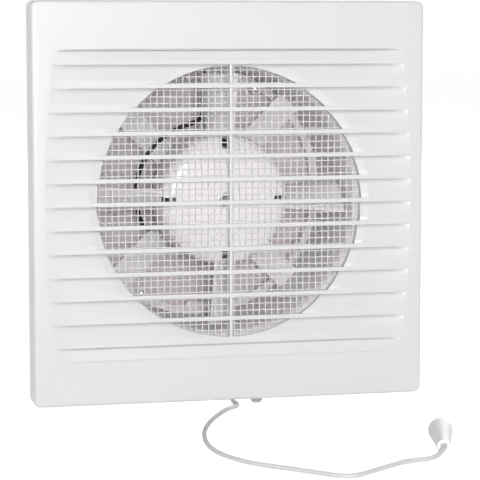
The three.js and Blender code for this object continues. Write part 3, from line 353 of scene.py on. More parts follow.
def between(front, back):
    """A solid between two grids of points that have the same rows and columns."""
    bm = bmesh.new()
    near, far = [[[bm.verts.new(point) for point in row] for row in grid] for grid in (front, back)]
    for grid in (near, far):
        for first, second in pairwise(grid):
            for (a, b), (d, c) in zip(pairwise(first), pairwise(second)):
                bm.faces.new((a, b, c, d))
    for r in range(len(near) - 1):
        for end in (0, -1):
            bm.faces.new((near[r][end], near[r + 1][end], far[r + 1][end], far[r][end]))
    for c in range(len(near[0]) - 1):
        for end in (0, -1):
            bm.faces.new((near[end][c], near[end][c + 1], far[end][c + 1], far[end][c]))
    return closed(bm)


def smooth_line(points, step):
    """Points at even steps along a centripetal Catmull-Rom curve through the given ones."""
    points = [Vector(p) for p in points]
    ends = [2 * points[0] - points[1], *points, 2 * points[-1] - points[-2]]
    line = []
    for p0, p1, p2, p3 in zip(ends, ends[1:], ends[2:], ends[3:]):
        k0, k1, k2 = ((b - a).length ** 0.5 for a, b in ((p0, p1), (p1, p2), (p2, p3)))
        start = k1 * ((p1 - p0) / k0 - (p2 - p0) / (k0 + k1) + (p2 - p1) / k1)
        end = k1 * ((p2 - p1) / k1 - (p3 - p1) / (k1 + k2) + (p3 - p2) / k2)
        parts = max(2, math.ceil((p2 - p1).length / step))
        for k in range(parts):
            t = k / parts
            line.append(p1 + start * t + (3 * (p2 - p1) - 2 * start - end) * t ** 2
                        + (2 * (p1 - p2) + start + end) * t ** 3)
    return line + [points[-1]]


def smooth_profile(points, step):
    """A smooth line through (radius, depth) points, as such points."""
    return [(p.x, p.y) for p in smooth_line([(*point, 0) for point in points], step)]


def helix(x, y, turns):
    """A line round an upright at x, y: turns gives the angle, the radius and the height of each point."""
    return [Vector((x + radius * math.cos(a), y + radius * math.sin(a), height)) for a, radius, height in turns]


def tube(line, radius, sides):
    """A round tube along a line, its UV map in millimetres round and along it."""
    bm = bmesh.new()
    uv = bm.loops.layers.uv.new("UVMap")
    across = (line[1] - line[0]).orthogonal().normalized()
    angles = [2 * math.pi * k / sides for k in range(sides)]
    rings, travelled = [], [0.0]
    for i, point in enumerate(line):
        ahead = (line[min(i + 1, len(line) - 1)] - line[max(i - 1, 0)]).normalized()
        across = (across - ahead * across.dot(ahead)).normalized()
        over = ahead.cross(across)
        rings.append([bm.verts.new(point + (across * math.cos(a) + over * math.sin(a)) * radius) for a in angles])
        if i:
            travelled.append(travelled[-1] + (point - line[i - 1]).length)
    girth = 2 * math.pi * radius / sides
    for number, face in enumerate(skinned(bm, rings)):
        r, i = divmod(number, sides)
        for loop, (side, station) in zip(face.loops, ((i, r), (i + 1, r), (i + 1, r + 1), (i, r + 1))):
            loop[uv].uv = (side * girth, travelled[station])
    bm.faces.new(reversed(rings[0]))
    bm.faces.new(rings[-1])
    bmesh.ops.recalc_face_normals(bm, faces=bm.faces)
    return object_from(bm)


def baked(obj):
    """The object's mesh with its modifiers worked in."""
    graph = bpy.context.evaluated_depsgraph_get()
    mesh = bpy.data.meshes.new_from_object(obj.evaluated_get(graph))
    obj.modifiers.clear()
    obj.data = mesh
    return obj


def worked(obj, tools, operation):
    """Joins solids to one, or cuts them from it, and removes them."""
    for tool in tools:
        modifier = obj.modifiers.new("work", "BOOLEAN")
        modifier.operation = operation
        modifier.solver = "MANIFOLD"
        modifier.object = tool
    baked(obj)
    for tool in tools:
        bpy.data.objects.remove(tool)
    return obj


def joined(first, *others):
    return worked(first, others, "UNION")


def cut(first, *tools):
    return worked(first, tools, "DIFFERENCE")


def together(*objects):
    """Several closed meshes as one piece."""
    bm = bmesh.new()
    for obj in objects:
        bm.from_mesh(obj.data)
        bpy.data.objects.remove(obj)
    return object_from(bm)


def shaded(obj, crease):
    """Smooth faces, with a sharp line where two meet at more than the crease angle."""
    bm = bmesh.new()
    bm.from_mesh(obj.data)
    for face in bm.faces:
        face.smooth = True
    for edge in bm.edges:
        edge.smooth = edge.calc_face_angle(0) < math.radians(crease)
    bm.to_mesh(obj.data)
    bm.free()


def coated(obj, look):
    obj.data.materials.clear()
    obj.data.materials.append(finish(look))


def piece(obj, name, look, *nodes, body="root", crease=32):
    """Puts a finished mesh in the row frame, with its finish, its body and the nodes that it stands for."""
    obj.name = obj.data.name = name
    shaded(obj, crease)
    obj.data.transform(TO_ROW)
    coated(obj, look)
    for face in obj.data.polygons:
        face.material_index = 0
    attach(obj, body)
    if nodes:
        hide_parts(*nodes)
    return obj


def dressed(look, *nodes):
    """Gives solids of the frame, whose own shape is right, their finish."""
    for name in nodes:
        coated(frame["nodes"][name], look)


# ---- Node trees ----


def fed(node, inputs):
    """Gives a node its inputs: values, sockets, or nodes whose first output feeds it."""
    for key, value in inputs.items():
        if isinstance(value, bpy.types.Node):
            value = value.outputs[0]
        if isinstance(value, bpy.types.NodeSocket):
            node.id_data.links.new(value, node.inputs[key])
        else:
            node.inputs[key].default_value = value
    return node


def add(tree, kind, inputs=None, **settings):
    """Adds one node with its own settings and its inputs."""
    made = tree.nodes.new(kind)
    for key, value in settings.items():
        setattr(made, key, value)
    return fed(made, inputs or {})


def linear(hex_value):
    """An sRGB hex value as a linear colour."""
    parts = [int(hex_value[i:i + 2], 16) / 255 for i in (1, 3, 5)]
    return (*(c / 12.92 if c <= 0.04045 else ((c + 0.055) / 1.055) ** 2.4 for c in parts), 1)


def per_metre(millimetres):
    """A texture's scale on metres for a grain of that size."""
    return 1 / (millimetres * MM)


def surface(name, hex_value, roughness, **values):
    """A material, its tree and its Principled shader, which holds what is the same all over."""
    material = bpy.data.materials.new(name)
    material.use_nodes = True
    material.diffuse_color = linear(hex_value)
    tree = material.node_tree
    shader = tree.nodes["Principled BSDF"]
    fed(shader, {"Base Color": linear(hex_value), "Roughness": roughness})
    fed(shader, {key.replace("_", " "): value for key, value in values.items()})
    return material, tree, shader


def darkened_by_pattern(shader, hex_value, pattern, least, low=0.0, high=1.0):
    """Darkens a colour to its least share where the pattern is low: random mottling on plastic, painted shade in the
    grooves of the braided cord and dark lines between stacked sheets.
    """
    tree = shader.id_data
    shade = add(tree, "ShaderNodeMapRange", {0: pattern, 1: low, 2: high, 3: least, 4: 1.0})
    mixed = add(tree, "ShaderNodeMix", {"Factor": 1, 6: linear(hex_value), 7: shade},
                data_type="RGBA", blend_type="MULTIPLY")
    fed(shader, {"Base Color": mixed.outputs[2]})


def roughened(shader, pattern, low, high):
    """Lets the roughness drift between two values."""
    fed(shader, {"Roughness": add(shader.id_data, "ShaderNodeMapRange", {0: pattern, 1: 0.3, 2: 0.7, 3: low, 4: high})})


def bumped(shader, height, distance):
    """Raises the surface by a height pattern, to a depth in millimetres."""
    fed(shader, {"Normal": add(shader.id_data, "ShaderNodeBump", {
        "Height": height, "Distance": distance * MM, "Strength": 1.0})})


def ridges(tree, along, pitch):
    """A pattern that rises and falls once in each pitch."""
    turns = add(tree, "ShaderNodeMath", {0: along, 1: 2 * math.pi / pitch}, operation="MULTIPLY")
    return add(tree, "ShaderNodeMath", {0: turns}, operation="SINE")


# ---- Finishes ----


def plastic(name, hex_value, roughness, ior, cells, drift, relief, depth, rough=None, detail=2.0, base=None):
    """Plastic whose colour drifts over large cells and whose gloss a fine relief breaks up.

    Sizes are in millimetres. Rough is the size, least and greatest value of a drifting roughness. Without
    a detail the relief is an even grain of pits.
    """
    material, tree, shader = surface(name, base or hex_value, roughness, IOR=ior)
    where = add(tree, "ShaderNodeTexCoord").outputs["Object"]
    clouds = add(tree, "ShaderNodeTexNoise", {"Vector": where, "Scale": per_metre(cells), "Detail": 3.0})
    darkened_by_pattern(shader, hex_value, clouds, 1 - drift)
    if rough:
        patch, low, high = rough
        patches = add(tree, "ShaderNodeTexNoise", {"Vector": where, "Scale": per_metre(patch), "Detail": 2.0})
        roughened(shader, patches, low, high)
    if detail is None:
        fine = add(tree, "ShaderNodeTexVoronoi", {"Vector": where, "Scale": per_metre(relief)})
    else:
        fine = add(tree, "ShaderNodeTexNoise", {"Vector": where, "Scale": per_metre(relief), "Detail": detail})
    bumped(shader, fine, depth)
    return material


def grained(name, hex_value, roughness, grain, depth, drift=0.02):
    """Plastic moulded in a spark-eroded tool: matt, with a fine even grain."""
    return plastic(name, hex_value, roughness, 1.5, 25, drift, grain, depth,
                   (5, roughness - 0.05, roughness + 0.07), None)


def metal(name, hex_value, roughness, grain, stretch, depth):
    """Bare metal with marks drawn out along the axis of the turning or drawing."""
    material, tree, shader = surface(name, hex_value, roughness, Metallic=1.0)
    where = add(tree, "ShaderNodeTexCoord").outputs["Object"]
    drawn = add(tree, "ShaderNodeMapping", {"Vector": where, "Scale": stretch})
    marks = add(tree, "ShaderNodeTexNoise", {"Vector": drawn, "Scale": per_metre(grain), "Detail": 4.0})
    roughened(shader, marks, roughness - 0.08, roughness + 0.1)
    bumped(shader, marks, depth)
    return material


def braided_polyester():
    """Polyester cord, braided: crossing strands that wind both ways round it, its colour darkened in the grooves
    between them as painted shade.
    """
    strand = 0.62  # millimetres between strands along the cord
    hex_value = bpy.context.scene.fan_cord.colour
    material, tree, shader = surface("braided_polyester_cord", hex_value, 0.85, Sheen_Weight=0.3)
    flat = add(tree, "ShaderNodeSeparateXYZ", {0: add(tree, "ShaderNodeUVMap", uv_map="UVMap")}).outputs
    strands = []
    for way in (1.0, -1.0):
        lean = add(tree, "ShaderNodeMath", {0: flat[0], 1: way}, operation="MULTIPLY")
        wound = add(tree, "ShaderNodeMath", {0: flat[1], 1: lean}, operation="ADD")
        strands.append(ridges(tree, wound, strand))
    weave = add(tree, "ShaderNodeMath", dict(enumerate(strands)), operation="MAXIMUM")
    # painted shade: the white is darkened to 0.88 where the weave is low, in the grooves between the strands
    darkened_by_pattern(shader, hex_value, weave, 0.88, -1.0)
    bumped(shader, weave, 0.08)
    return material


def laminated_steel():
    """Punched sheet steel, stacked: thin dark lines between the sheets."""
    sheet = 0.8  # millimetres, coarser than the real 0.5 so that the sheets show
    material, tree, shader = surface("stacked_lamination_steel", "#6D6F72", 0.45, Metallic=1.0)
    place = add(tree, "ShaderNodeSeparateXYZ", {0: add(tree, "ShaderNodeTexCoord").outputs["Object"]})
    edges = ridges(tree, place.outputs[1], sheet * MM)
    darkened_by_pattern(shader, "#74767A", edges, 0.45, -1.0, -0.4)
    bumped(shader, edges, 0.05)
    return material


def enamelled_copper():
    """Enamelled copper wire, wound: fine ridges of one wire each, lacquered."""
    wire = 0.35  # millimetres
    material, tree, shader = surface("enamelled_copper_winding", "#B5653A", 0.3, Metallic=1.0, Coat_Weight=0.5)
    place = add(tree, "ShaderNodeSeparateXYZ", {0: add(tree, "ShaderNodeTexCoord").outputs["Object"]})
    bumped(shader, ridges(tree, place.outputs[2], wire * MM), 0.06)
    return material


@cache
def finish(look):
    """The material of a look, made when it is first asked for; each comment says what the eye gets from it."""
    scene = bpy.context.scene
    duct = scene.fan_duct
    even = (1, 1, 1)
    maker, *values = {
        # ABS moulded in a polished tool: a satin white with faint flow and a fine eggshell
        "white": (plastic, "moulded_white_abs", scene.fan_cover.colour, 0.36, 1.54, 60, 0.012, 0.9, 0.012,
                  (9, 0.32, 0.42)),
        # ABS moulded in a plain tool: matter than the cover, with a slightly coarser eggshell; its white is painted
        # lighter than the cover's, though both are the same ABS, as painted light that makes up for the shade inside
        # the duct
        "housing": (plastic, "moulded_housing_abs", duct.colour, 0.48, 1.54, 40, 0.015, 1.2, 0.02,
                    (7, 0.42, 0.54), 3.0),
        # polypropylene moulded in a polished tool: brighter and glossier than the cover
        "impeller": (plastic, "moulded_gloss_polypropylene", scene.fan_impeller.colour, 0.2, 1.49, 30, 0.01, 7, 0.03,
                     (6, 0.16, 0.26), 1.0),
        # polyethylene, extruded as a mesh: soft, slightly waxy white threads
        "net": (plastic, "extruded_polyethylene_mesh", scene.fan_net.colour, 0.5, 1.51, 4, 0.03, 0.6, 0.02),
        # PVC, extruded as a sheath: dull black with a faint grain
        "black": (plastic, "extruded_black_pvc", "#1C1C1F", 0.5, 1.53, 6, 0.2, 0.7, 0.03, None, 2.0, "#18181A"),
        # ABS from a spark-eroded tool: an even matt that shows no highlights
        "frame": (grained, "moulded_abs_ring", duct.frame_colour, 0.45, 0.8, 0.02),
        # polystyrene from a spark-eroded tool: duller and a little coarser than the ring
        "leaf": (grained, "moulded_grey_polystyrene", duct.leaf_colour, 0.55, 0.9, 0.03),
        # polyamide, moulded: a technical grey with a close grain
        "switch_grey": (grained, "moulded_polyamide", "#C9CAC8", 0.5, 0.6, 0.03),
        # ABS, moulded nearly smooth: soft, wide highlights
        "knob": (grained, "moulded_knob_abs", scene.fan_cord.knob_colour, 0.5, 1.4, 0.003, 0.006),
        "cord": (braided_polyester,),
        "laminations": (laminated_steel,),
        "copper": (enamelled_copper,),
        # steel, zinc plated: bright, with small soft dents
        "screw": (metal, "zinc_plated_steel", "#B9BBBE", 0.3, 1.2, even, 0.02),
        # steel, nickel plated: darker than zinc and more polished
        "cover_screw": (metal, "nickel_plated_steel", "#A0A2A5", 0.24, 1.2, even, 0.02),
        # steel, ground: bright, its fine marks running round
        "steel": (metal, "ground_steel", "#A9ABAE", 0.26, 0.8, (1, 6, 1), 0.01),
        # zinc, die cast: dull and slightly lumpy
        "zinc": (metal, "die_cast_zinc", "#A7ABAF", 0.42, 1.6, even, 0.05),
    }[look]
    return maker(*values)


# ---- Geometry Nodes ----


def repeated(name, tree, values):
    """Runs a geometry tree on an empty mesh and keeps the plain mesh that it makes."""
    obj = object_of(name, bpy.data.meshes.new(name))
    modifier = obj.modifiers.new(name, "NODES")
    modifier.node_group = tree
    for item in tree.interface.items_tree:
        if item.in_out == "INPUT" and item.name in values:
            modifier[item.identifier] = values[item.name]
    return baked(obj)


def new_tree(name, **inputs):
    """A geometry tree with named inputs, each with its kind, and the sockets that they come in by."""
    tree = bpy.data.node_groups.new(name, "GeometryNodeTree")
    for title, kind in inputs.items():
        tree.interface.new_socket(title, in_out="INPUT", socket_type="NodeSocket" + kind)
    tree.interface.new_socket("Geometry", in_out="OUTPUT", socket_type="NodeSocketGeometry")
    return tree, add(tree, "NodeGroupInput").outputs


def ended(tree, shape, look):
    """Ends a geometry tree in real geometry with its finish."""
    real = add(tree, "GeometryNodeRealizeInstances", {"Geometry": shape})
    coated_shape = add(tree, "GeometryNodeSetMaterial", {"Geometry": real, "Material": finish(look)})
    add(tree, "NodeGroupOutput", {0: coated_shape})
    return tree


def wire_rows(tree, given, turn, depth):
    """One set of parallel wires across a circle, each as long as the circle's chord there."""
    radius, pitch = given["Reach"], given["Pitch"]
    ratio = add(tree, "ShaderNodeMath", {0: radius, 1: pitch}, operation="DIVIDE")
    whole = add(tree, "ShaderNodeMath", {0: ratio}, operation="FLOOR")
    many = add(tree, "ShaderNodeMath", {0: whole, 1: 2.0, 2: 1.0}, operation="MULTIPLY_ADD")
    first = add(tree, "ShaderNodeMath", {0: whole, 1: pitch}, operation="MULTIPLY")
    below = add(tree, "ShaderNodeMath", {0: first, 1: -1.0}, operation="MULTIPLY")
    line = add(tree, "GeometryNodeMeshLine", {
        "Count": many, "Start Location": add(tree, "ShaderNodeCombineXYZ", {"Z": below}),
        "Offset": add(tree, "ShaderNodeCombineXYZ", {"Z": pitch})})
    place = add(tree, "ShaderNodeSeparateXYZ", {0: add(tree, "GeometryNodeInputPosition")})
    squares = [add(tree, "ShaderNodeMath", {0: side, 1: 2.0}, operation="POWER")
               for side in (radius, place.outputs[2])]
    rest = add(tree, "ShaderNodeMath", dict(enumerate(squares)), operation="SUBTRACT")
    chord = add(tree, "ShaderNodeMath", {0: rest}, operation="SQRT")
    half_wire = add(tree, "ShaderNodeMath", {0: given["Wire"], 1: 0.5}, operation="MULTIPLY")
    bar = add(tree, "GeometryNodeMeshCylinder", {"Vertices": 6, "Side Segments": 14, "Radius": half_wire,
                                                 "Depth": 2.0})
    level = add(tree, "GeometryNodeTransform", {"Geometry": bar, "Rotation": (0, math.pi / 2, 0)})
    length = add(tree, "ShaderNodeCombineXYZ", {"X": chord, "Y": 1.0, "Z": 1.0})
    placed = add(tree, "GeometryNodeInstanceOnPoints", {"Points": line, "Instance": level, "Scale": length})
    real = add(tree, "GeometryNodeRealizeInstances", {"Geometry": placed})
    drift = add(tree, "ShaderNodeTexNoise", {"Vector": add(tree, "GeometryNodeInputPosition"), "Scale": 1 / 17,
                                             "Detail": 1.0})
    from_middle = add(tree, "ShaderNodeMath", {0: drift, 1: 0.5}, operation="SUBTRACT")
    sway = add(tree, "ShaderNodeMath", {0: from_middle, 1: given["Wave"]}, operation="MULTIPLY")
    waved = add(tree, "GeometryNodeSetPosition", {
        "Geometry": real, "Offset": add(tree, "ShaderNodeCombineXYZ", {"Z": sway})})
    return add(tree, "GeometryNodeTransform", {
        "Geometry": waved, "Translation": add(tree, "ShaderNodeCombineXYZ", {"Y": depth}), "Rotation": (0, turn, 0)})


def net_tree():
    """Two sets of wires that cross, the upright ones just behind the level ones."""
    tree, given = new_tree("crossed_wires", Reach="Float", Pitch="Float", Wire="Float", Wave="Float", Depth="Float")
    behind = add(tree, "ShaderNodeMath", {0: given["Wire"], 1: 0.35, 2: given["Depth"]}, operation="MULTIPLY_ADD")
    both = add(tree, "GeometryNodeJoinGeometry")
    for turn, depth in ((0.0, given["Depth"]), (math.pi / 2, behind)):
        fed(both, {0: wire_rows(tree, given, turn, depth)})
    return ended(tree, both, "net")


def around_tree(name, source, look):
    """Copies of one object at even turns round the fan's axis."""
    tree, given = new_tree(name, Copies="Int", Turn="Float")
    info = add(tree, "GeometryNodeObjectInfo", {"Object": source}).outputs["Geometry"]
    line = add(tree, "GeometryNodeMeshLine", {"Count": given["Copies"], "Offset": (0, 0, 0)})
    step = add(tree, "ShaderNodeMath", {0: 2 * math.pi, 1: given["Copies"]}, operation="DIVIDE")
    angle = add(tree, "ShaderNodeMath", {0: add(tree, "GeometryNodeInputIndex"), 1: step, 2: given["Turn"]},
                operation="MULTIPLY_ADD")
    placed = add(tree, "GeometryNodeInstanceOnPoints", {
        "Points": line, "Instance": info, "Rotation": add(tree, "ShaderNodeCombineXYZ", {"Y": angle})})
    return ended(tree, placed, look)


def round_the_axis(name, source, copies, look, first=0.0):
    """Copies of an object round the fan's axis, as one mesh; the object itself is used up."""
    made = repeated(name, around_tree(name, source, look), {"Copies": copies, "Turn": math.radians(-first)})
    bpy.data.objects.remove(source)
    return made


# ---- Stage ----

LAMPS = {  # each one's place and width in metres, and its power in watts
    "front_softbox": ((-0.24, -1.56, 0.28), 0.26, 13.6),
    "upper_softbox": ((-0.42, -1.47, 0.91), 0.8, 3.9),
    "left_softbox": ((-1.35, -1.0, 0.5), 0.8, 1.2),
    "right_softbox": ((1.3, -0.9, 0.7), 0.9, 1.2),
    "rear_left_softbox": ((-1.2, 1.1, 0.6), 0.9, 7),
    "rear_right_softbox": ((1.0, 1.3, 0.8), 1.0, 16),
}


def aimed(ahead):
    """The turn of a camera or lamp that looks along a line."""
    return ahead.to_track_quat("-Z", "Y").to_euler()


def seen_plainly(tree):
    """One for rays from the camera, from gloss and through glass; nothing for rays that only carry light."""
    rays = add(tree, "ShaderNodeLightPath").outputs
    direct = add(tree, "ShaderNodeMath", {0: rays["Is Camera Ray"], 1: rays["Is Glossy Ray"]}, operation="MAXIMUM")
    return add(tree, "ShaderNodeMath", {0: direct, 1: rays["Is Transmission Ray"]}, operation="MAXIMUM")


class FAN_OT_stage(bpy.types.Operator):
    """Makes the camera, the white floor and the soft light round the fan"""

    bl_idname = "fan.stage"
    bl_label = "Stage"

    def execute(self, context):
        settings = context.scene.fan_stage
        camera = object_of("camera", bpy.data.cameras.new("camera"))
        camera.data.lens = settings.lens
        camera.data.clip_start = 0.01
        camera.location = settings.camera
        a, b = math.radians(settings.yaw), math.radians(settings.pitch)
        camera.rotation_euler = aimed(Vector((math.sin(a) * math.cos(b), math.cos(a) * math.cos(b), -math.sin(b))))
        context.scene.camera = camera
        context.scene.view_settings.view_transform = "Standard"
        self.floor()
        self.world(context, settings)
        for name, (place, width, power) in LAMPS.items():
            data = bpy.data.lights.new(name, "AREA")
            data.shape = "SQUARE"
            data.size = width
            data.energy = power * settings.key
            lamp = object_of(name, data)
            lamp.location = place
            lamp.rotation_euler = aimed(Vector((0, 0, AXIS_HEIGHT)) - Vector(place))
        return {"FINISHED"}

    def floor(self):
        """A wide white floor that fades to plain white for the camera and keeps the shadow."""
        bm = bmesh.new()
        bmesh.ops.create_grid(bm, x_segments=1, y_segments=1, size=6)
        floor = closed(bm, "floor")
        material, tree, shader = surface("white_floor", "#FFFFFF", 0.9, Specular_IOR_Level=0.0,
                                         Emission_Color=(1, 1, 1, 1))
        seen = seen_plainly(tree)
        fed(shader, {"Base Color": add(tree, "ShaderNodeMapRange", {0: seen, 3: 0.9, 4: 0.45}),
                     "Emission Strength": add(tree, "ShaderNodeMath", {0: seen, 1: 0.93}, operation="MULTIPLY")})
        floor.data.materials.append(material)

    def world(self, context, settings):
        """White surroundings: plain white where they are seen, dimmer where they only light."""
        world = bpy.data.worlds.new("white_room")
        world.use_nodes = True
        context.scene.world = world
        tree = world.node_tree
        level = add(tree, "ShaderNodeMapRange", {0: seen_plainly(tree), 3: settings.ambient, 4: 1.0})
        fed(tree.nodes["Background"], {"Color": (1, 1, 1, 1), "Strength": level})


# ---- Pull cord and knob ----

# The cord's way in metres: down from its knot in the switch through the guide, over the floor, up to the knob.
CORD_DOWN = [
    (0.0020, -0.0318, 0.0129), (0.0020, -0.0318, 0.0120), (0.0020, -0.0318, 0.0080), (0.0020, -0.0318, 0.0042),
    (0.0020, -0.03195, 0.0027), (0.0021, -0.0330, 0.0014),
]
CORD_ON_FLOOR = [
    (0.0023, -0.0347), (0.0027, -0.0386), (0.0012, -0.0442), (-0.0048, -0.0514), (-0.0134, -0.0665),
    (-0.0214, -0.0845), (-0.0272, -0.1023), (-0.0306, -0.1190), (-0.0319, -0.1355), (-0.0306, -0.1483),
    (-0.0272, -0.1593), (-0.0229, -0.1682), (-0.0177, -0.1749), (-0.0118, -0.1812), (-0.0059, -0.1880),
    (-0.0012, -0.1938), (0.0029, -0.1982), (0.0068, -0.2002), (0.0114, -0.1989), (0.0193, -0.1930),
    (0.0284, -0.1856), (0.0365, -0.1798), (0.0422, -0.1779), (0.0470, -0.1764),
]
CORD_UP = [
    (0.0518, -0.1728, 0.0012), (0.05598, -0.16799, 0.0023), (0.05705, -0.16650, 0.00267),
    (0.05762, -0.16449, 0.00287),
]
LYING = 0.0010  # the height of the cord's middle where it lies on the floor
CORD_ROUTE = [*CORD_DOWN, *[(x, y, LYING) for x, y in CORD_ON_FLOOR], *CORD_UP]
KNOB_NOSE = (57.7, -124.2)  # x and depth of the knob's narrow end
KNOB_HEADING = 74.1  # degrees from +X towards the duct
CLEAR_OF_FLOOR = 0.1  # millimetres between the knob and the floor


class FAN_OT_pull_cord(bpy.types.Operator):
    """Lays the pull cord from the switch's eye through its guide and over the floor to the knob"""

    bl_idname = "fan.pull_cord"
    bl_label = "Pull cord"

    def execute(self, context):
        diameter = context.scene.fan_cord.diameter
        back = TO_ROW.inverted()
        line = [back @ p for p in smooth_line(CORD_ROUTE, 0.7 * MM)]
        cord = piece(tube(line, diameter / 2, 12), "cord", "cord", "pull_cord", crease=80)
        piece(self.knot(line[0], 1.3), "eye_knot", "cord", body="plunger", crease=80)
        end = line[-1] + (line[-1] - line[-4]).normalized() * 0.6
        knot = piece(self.knot(end, 1.25), "cord_knot", "cord", crease=80)
        return {"FINISHED"}

    def knot(self, place, size_of):
        """An overhand knot: a short tube wound one and a half times round itself."""
        turns, steps = 1.6, 40
        points = []
        for i in range(steps + 1):
            t = i / steps
            angle = 2 * math.pi * turns * t
            swing = size_of * (0.55 + 0.12 * math.sin(3 * angle))
            points.append((angle, swing, place.z + (t - 0.5) * size_of * 1.3))
        return tube(helix(place.x, place.y, points), 0.62, 8)


class FAN_OT_pull_knob(bpy.types.Operator):
    """Turns the tapered knob that lies on the floor at the cord's end"""

    bl_idname = "fan.pull_knob"
    bl_label = "Pull knob"

    def execute(self, context):
        settings = context.scene.fan_cord
        radius, length = settings.knob_radius, settings.knob_length
        neck, waist = 2.85, 22.6
        bore = settings.diameter / 2 + CORD_PLAY
        inside = [(0, 6.5), (bore, 6), (bore, 0.35), (bore + 0.35, 0), (neck - 0.45, 0), (neck - 0.12, 0.12)]
        outside = smooth_profile([(neck, 0.5), (3.2, 6), (4.05, 14), (4.7, 19.4), (radius, waist),
                                  (4.75, length - 3), (3.7, length - 1.2), (2, length - 0.25), (0, length)], 0.5)
        knob = turned([*inside, *outside[:-1], (0, length)], 64)
        tilt = math.atan2(radius - neck, waist - 0.5)
        lift = max(r * math.cos(tilt) - a * math.sin(tilt) for r, a in outside) + CLEAR_OF_FLOOR
        knob.data.transform(Matrix.Translation((*KNOB_NOSE, lift - AXIS_HEIGHT / MM))
                            @ Matrix.Rotation(math.radians(KNOB_HEADING - 90), 4, "Z")
                            @ Matrix.Rotation(tilt, 4, "X"))
        piece(knob, "knob", "knob", "pull_knob")
        return {"FINISHED"}


# ---- Front cover ----


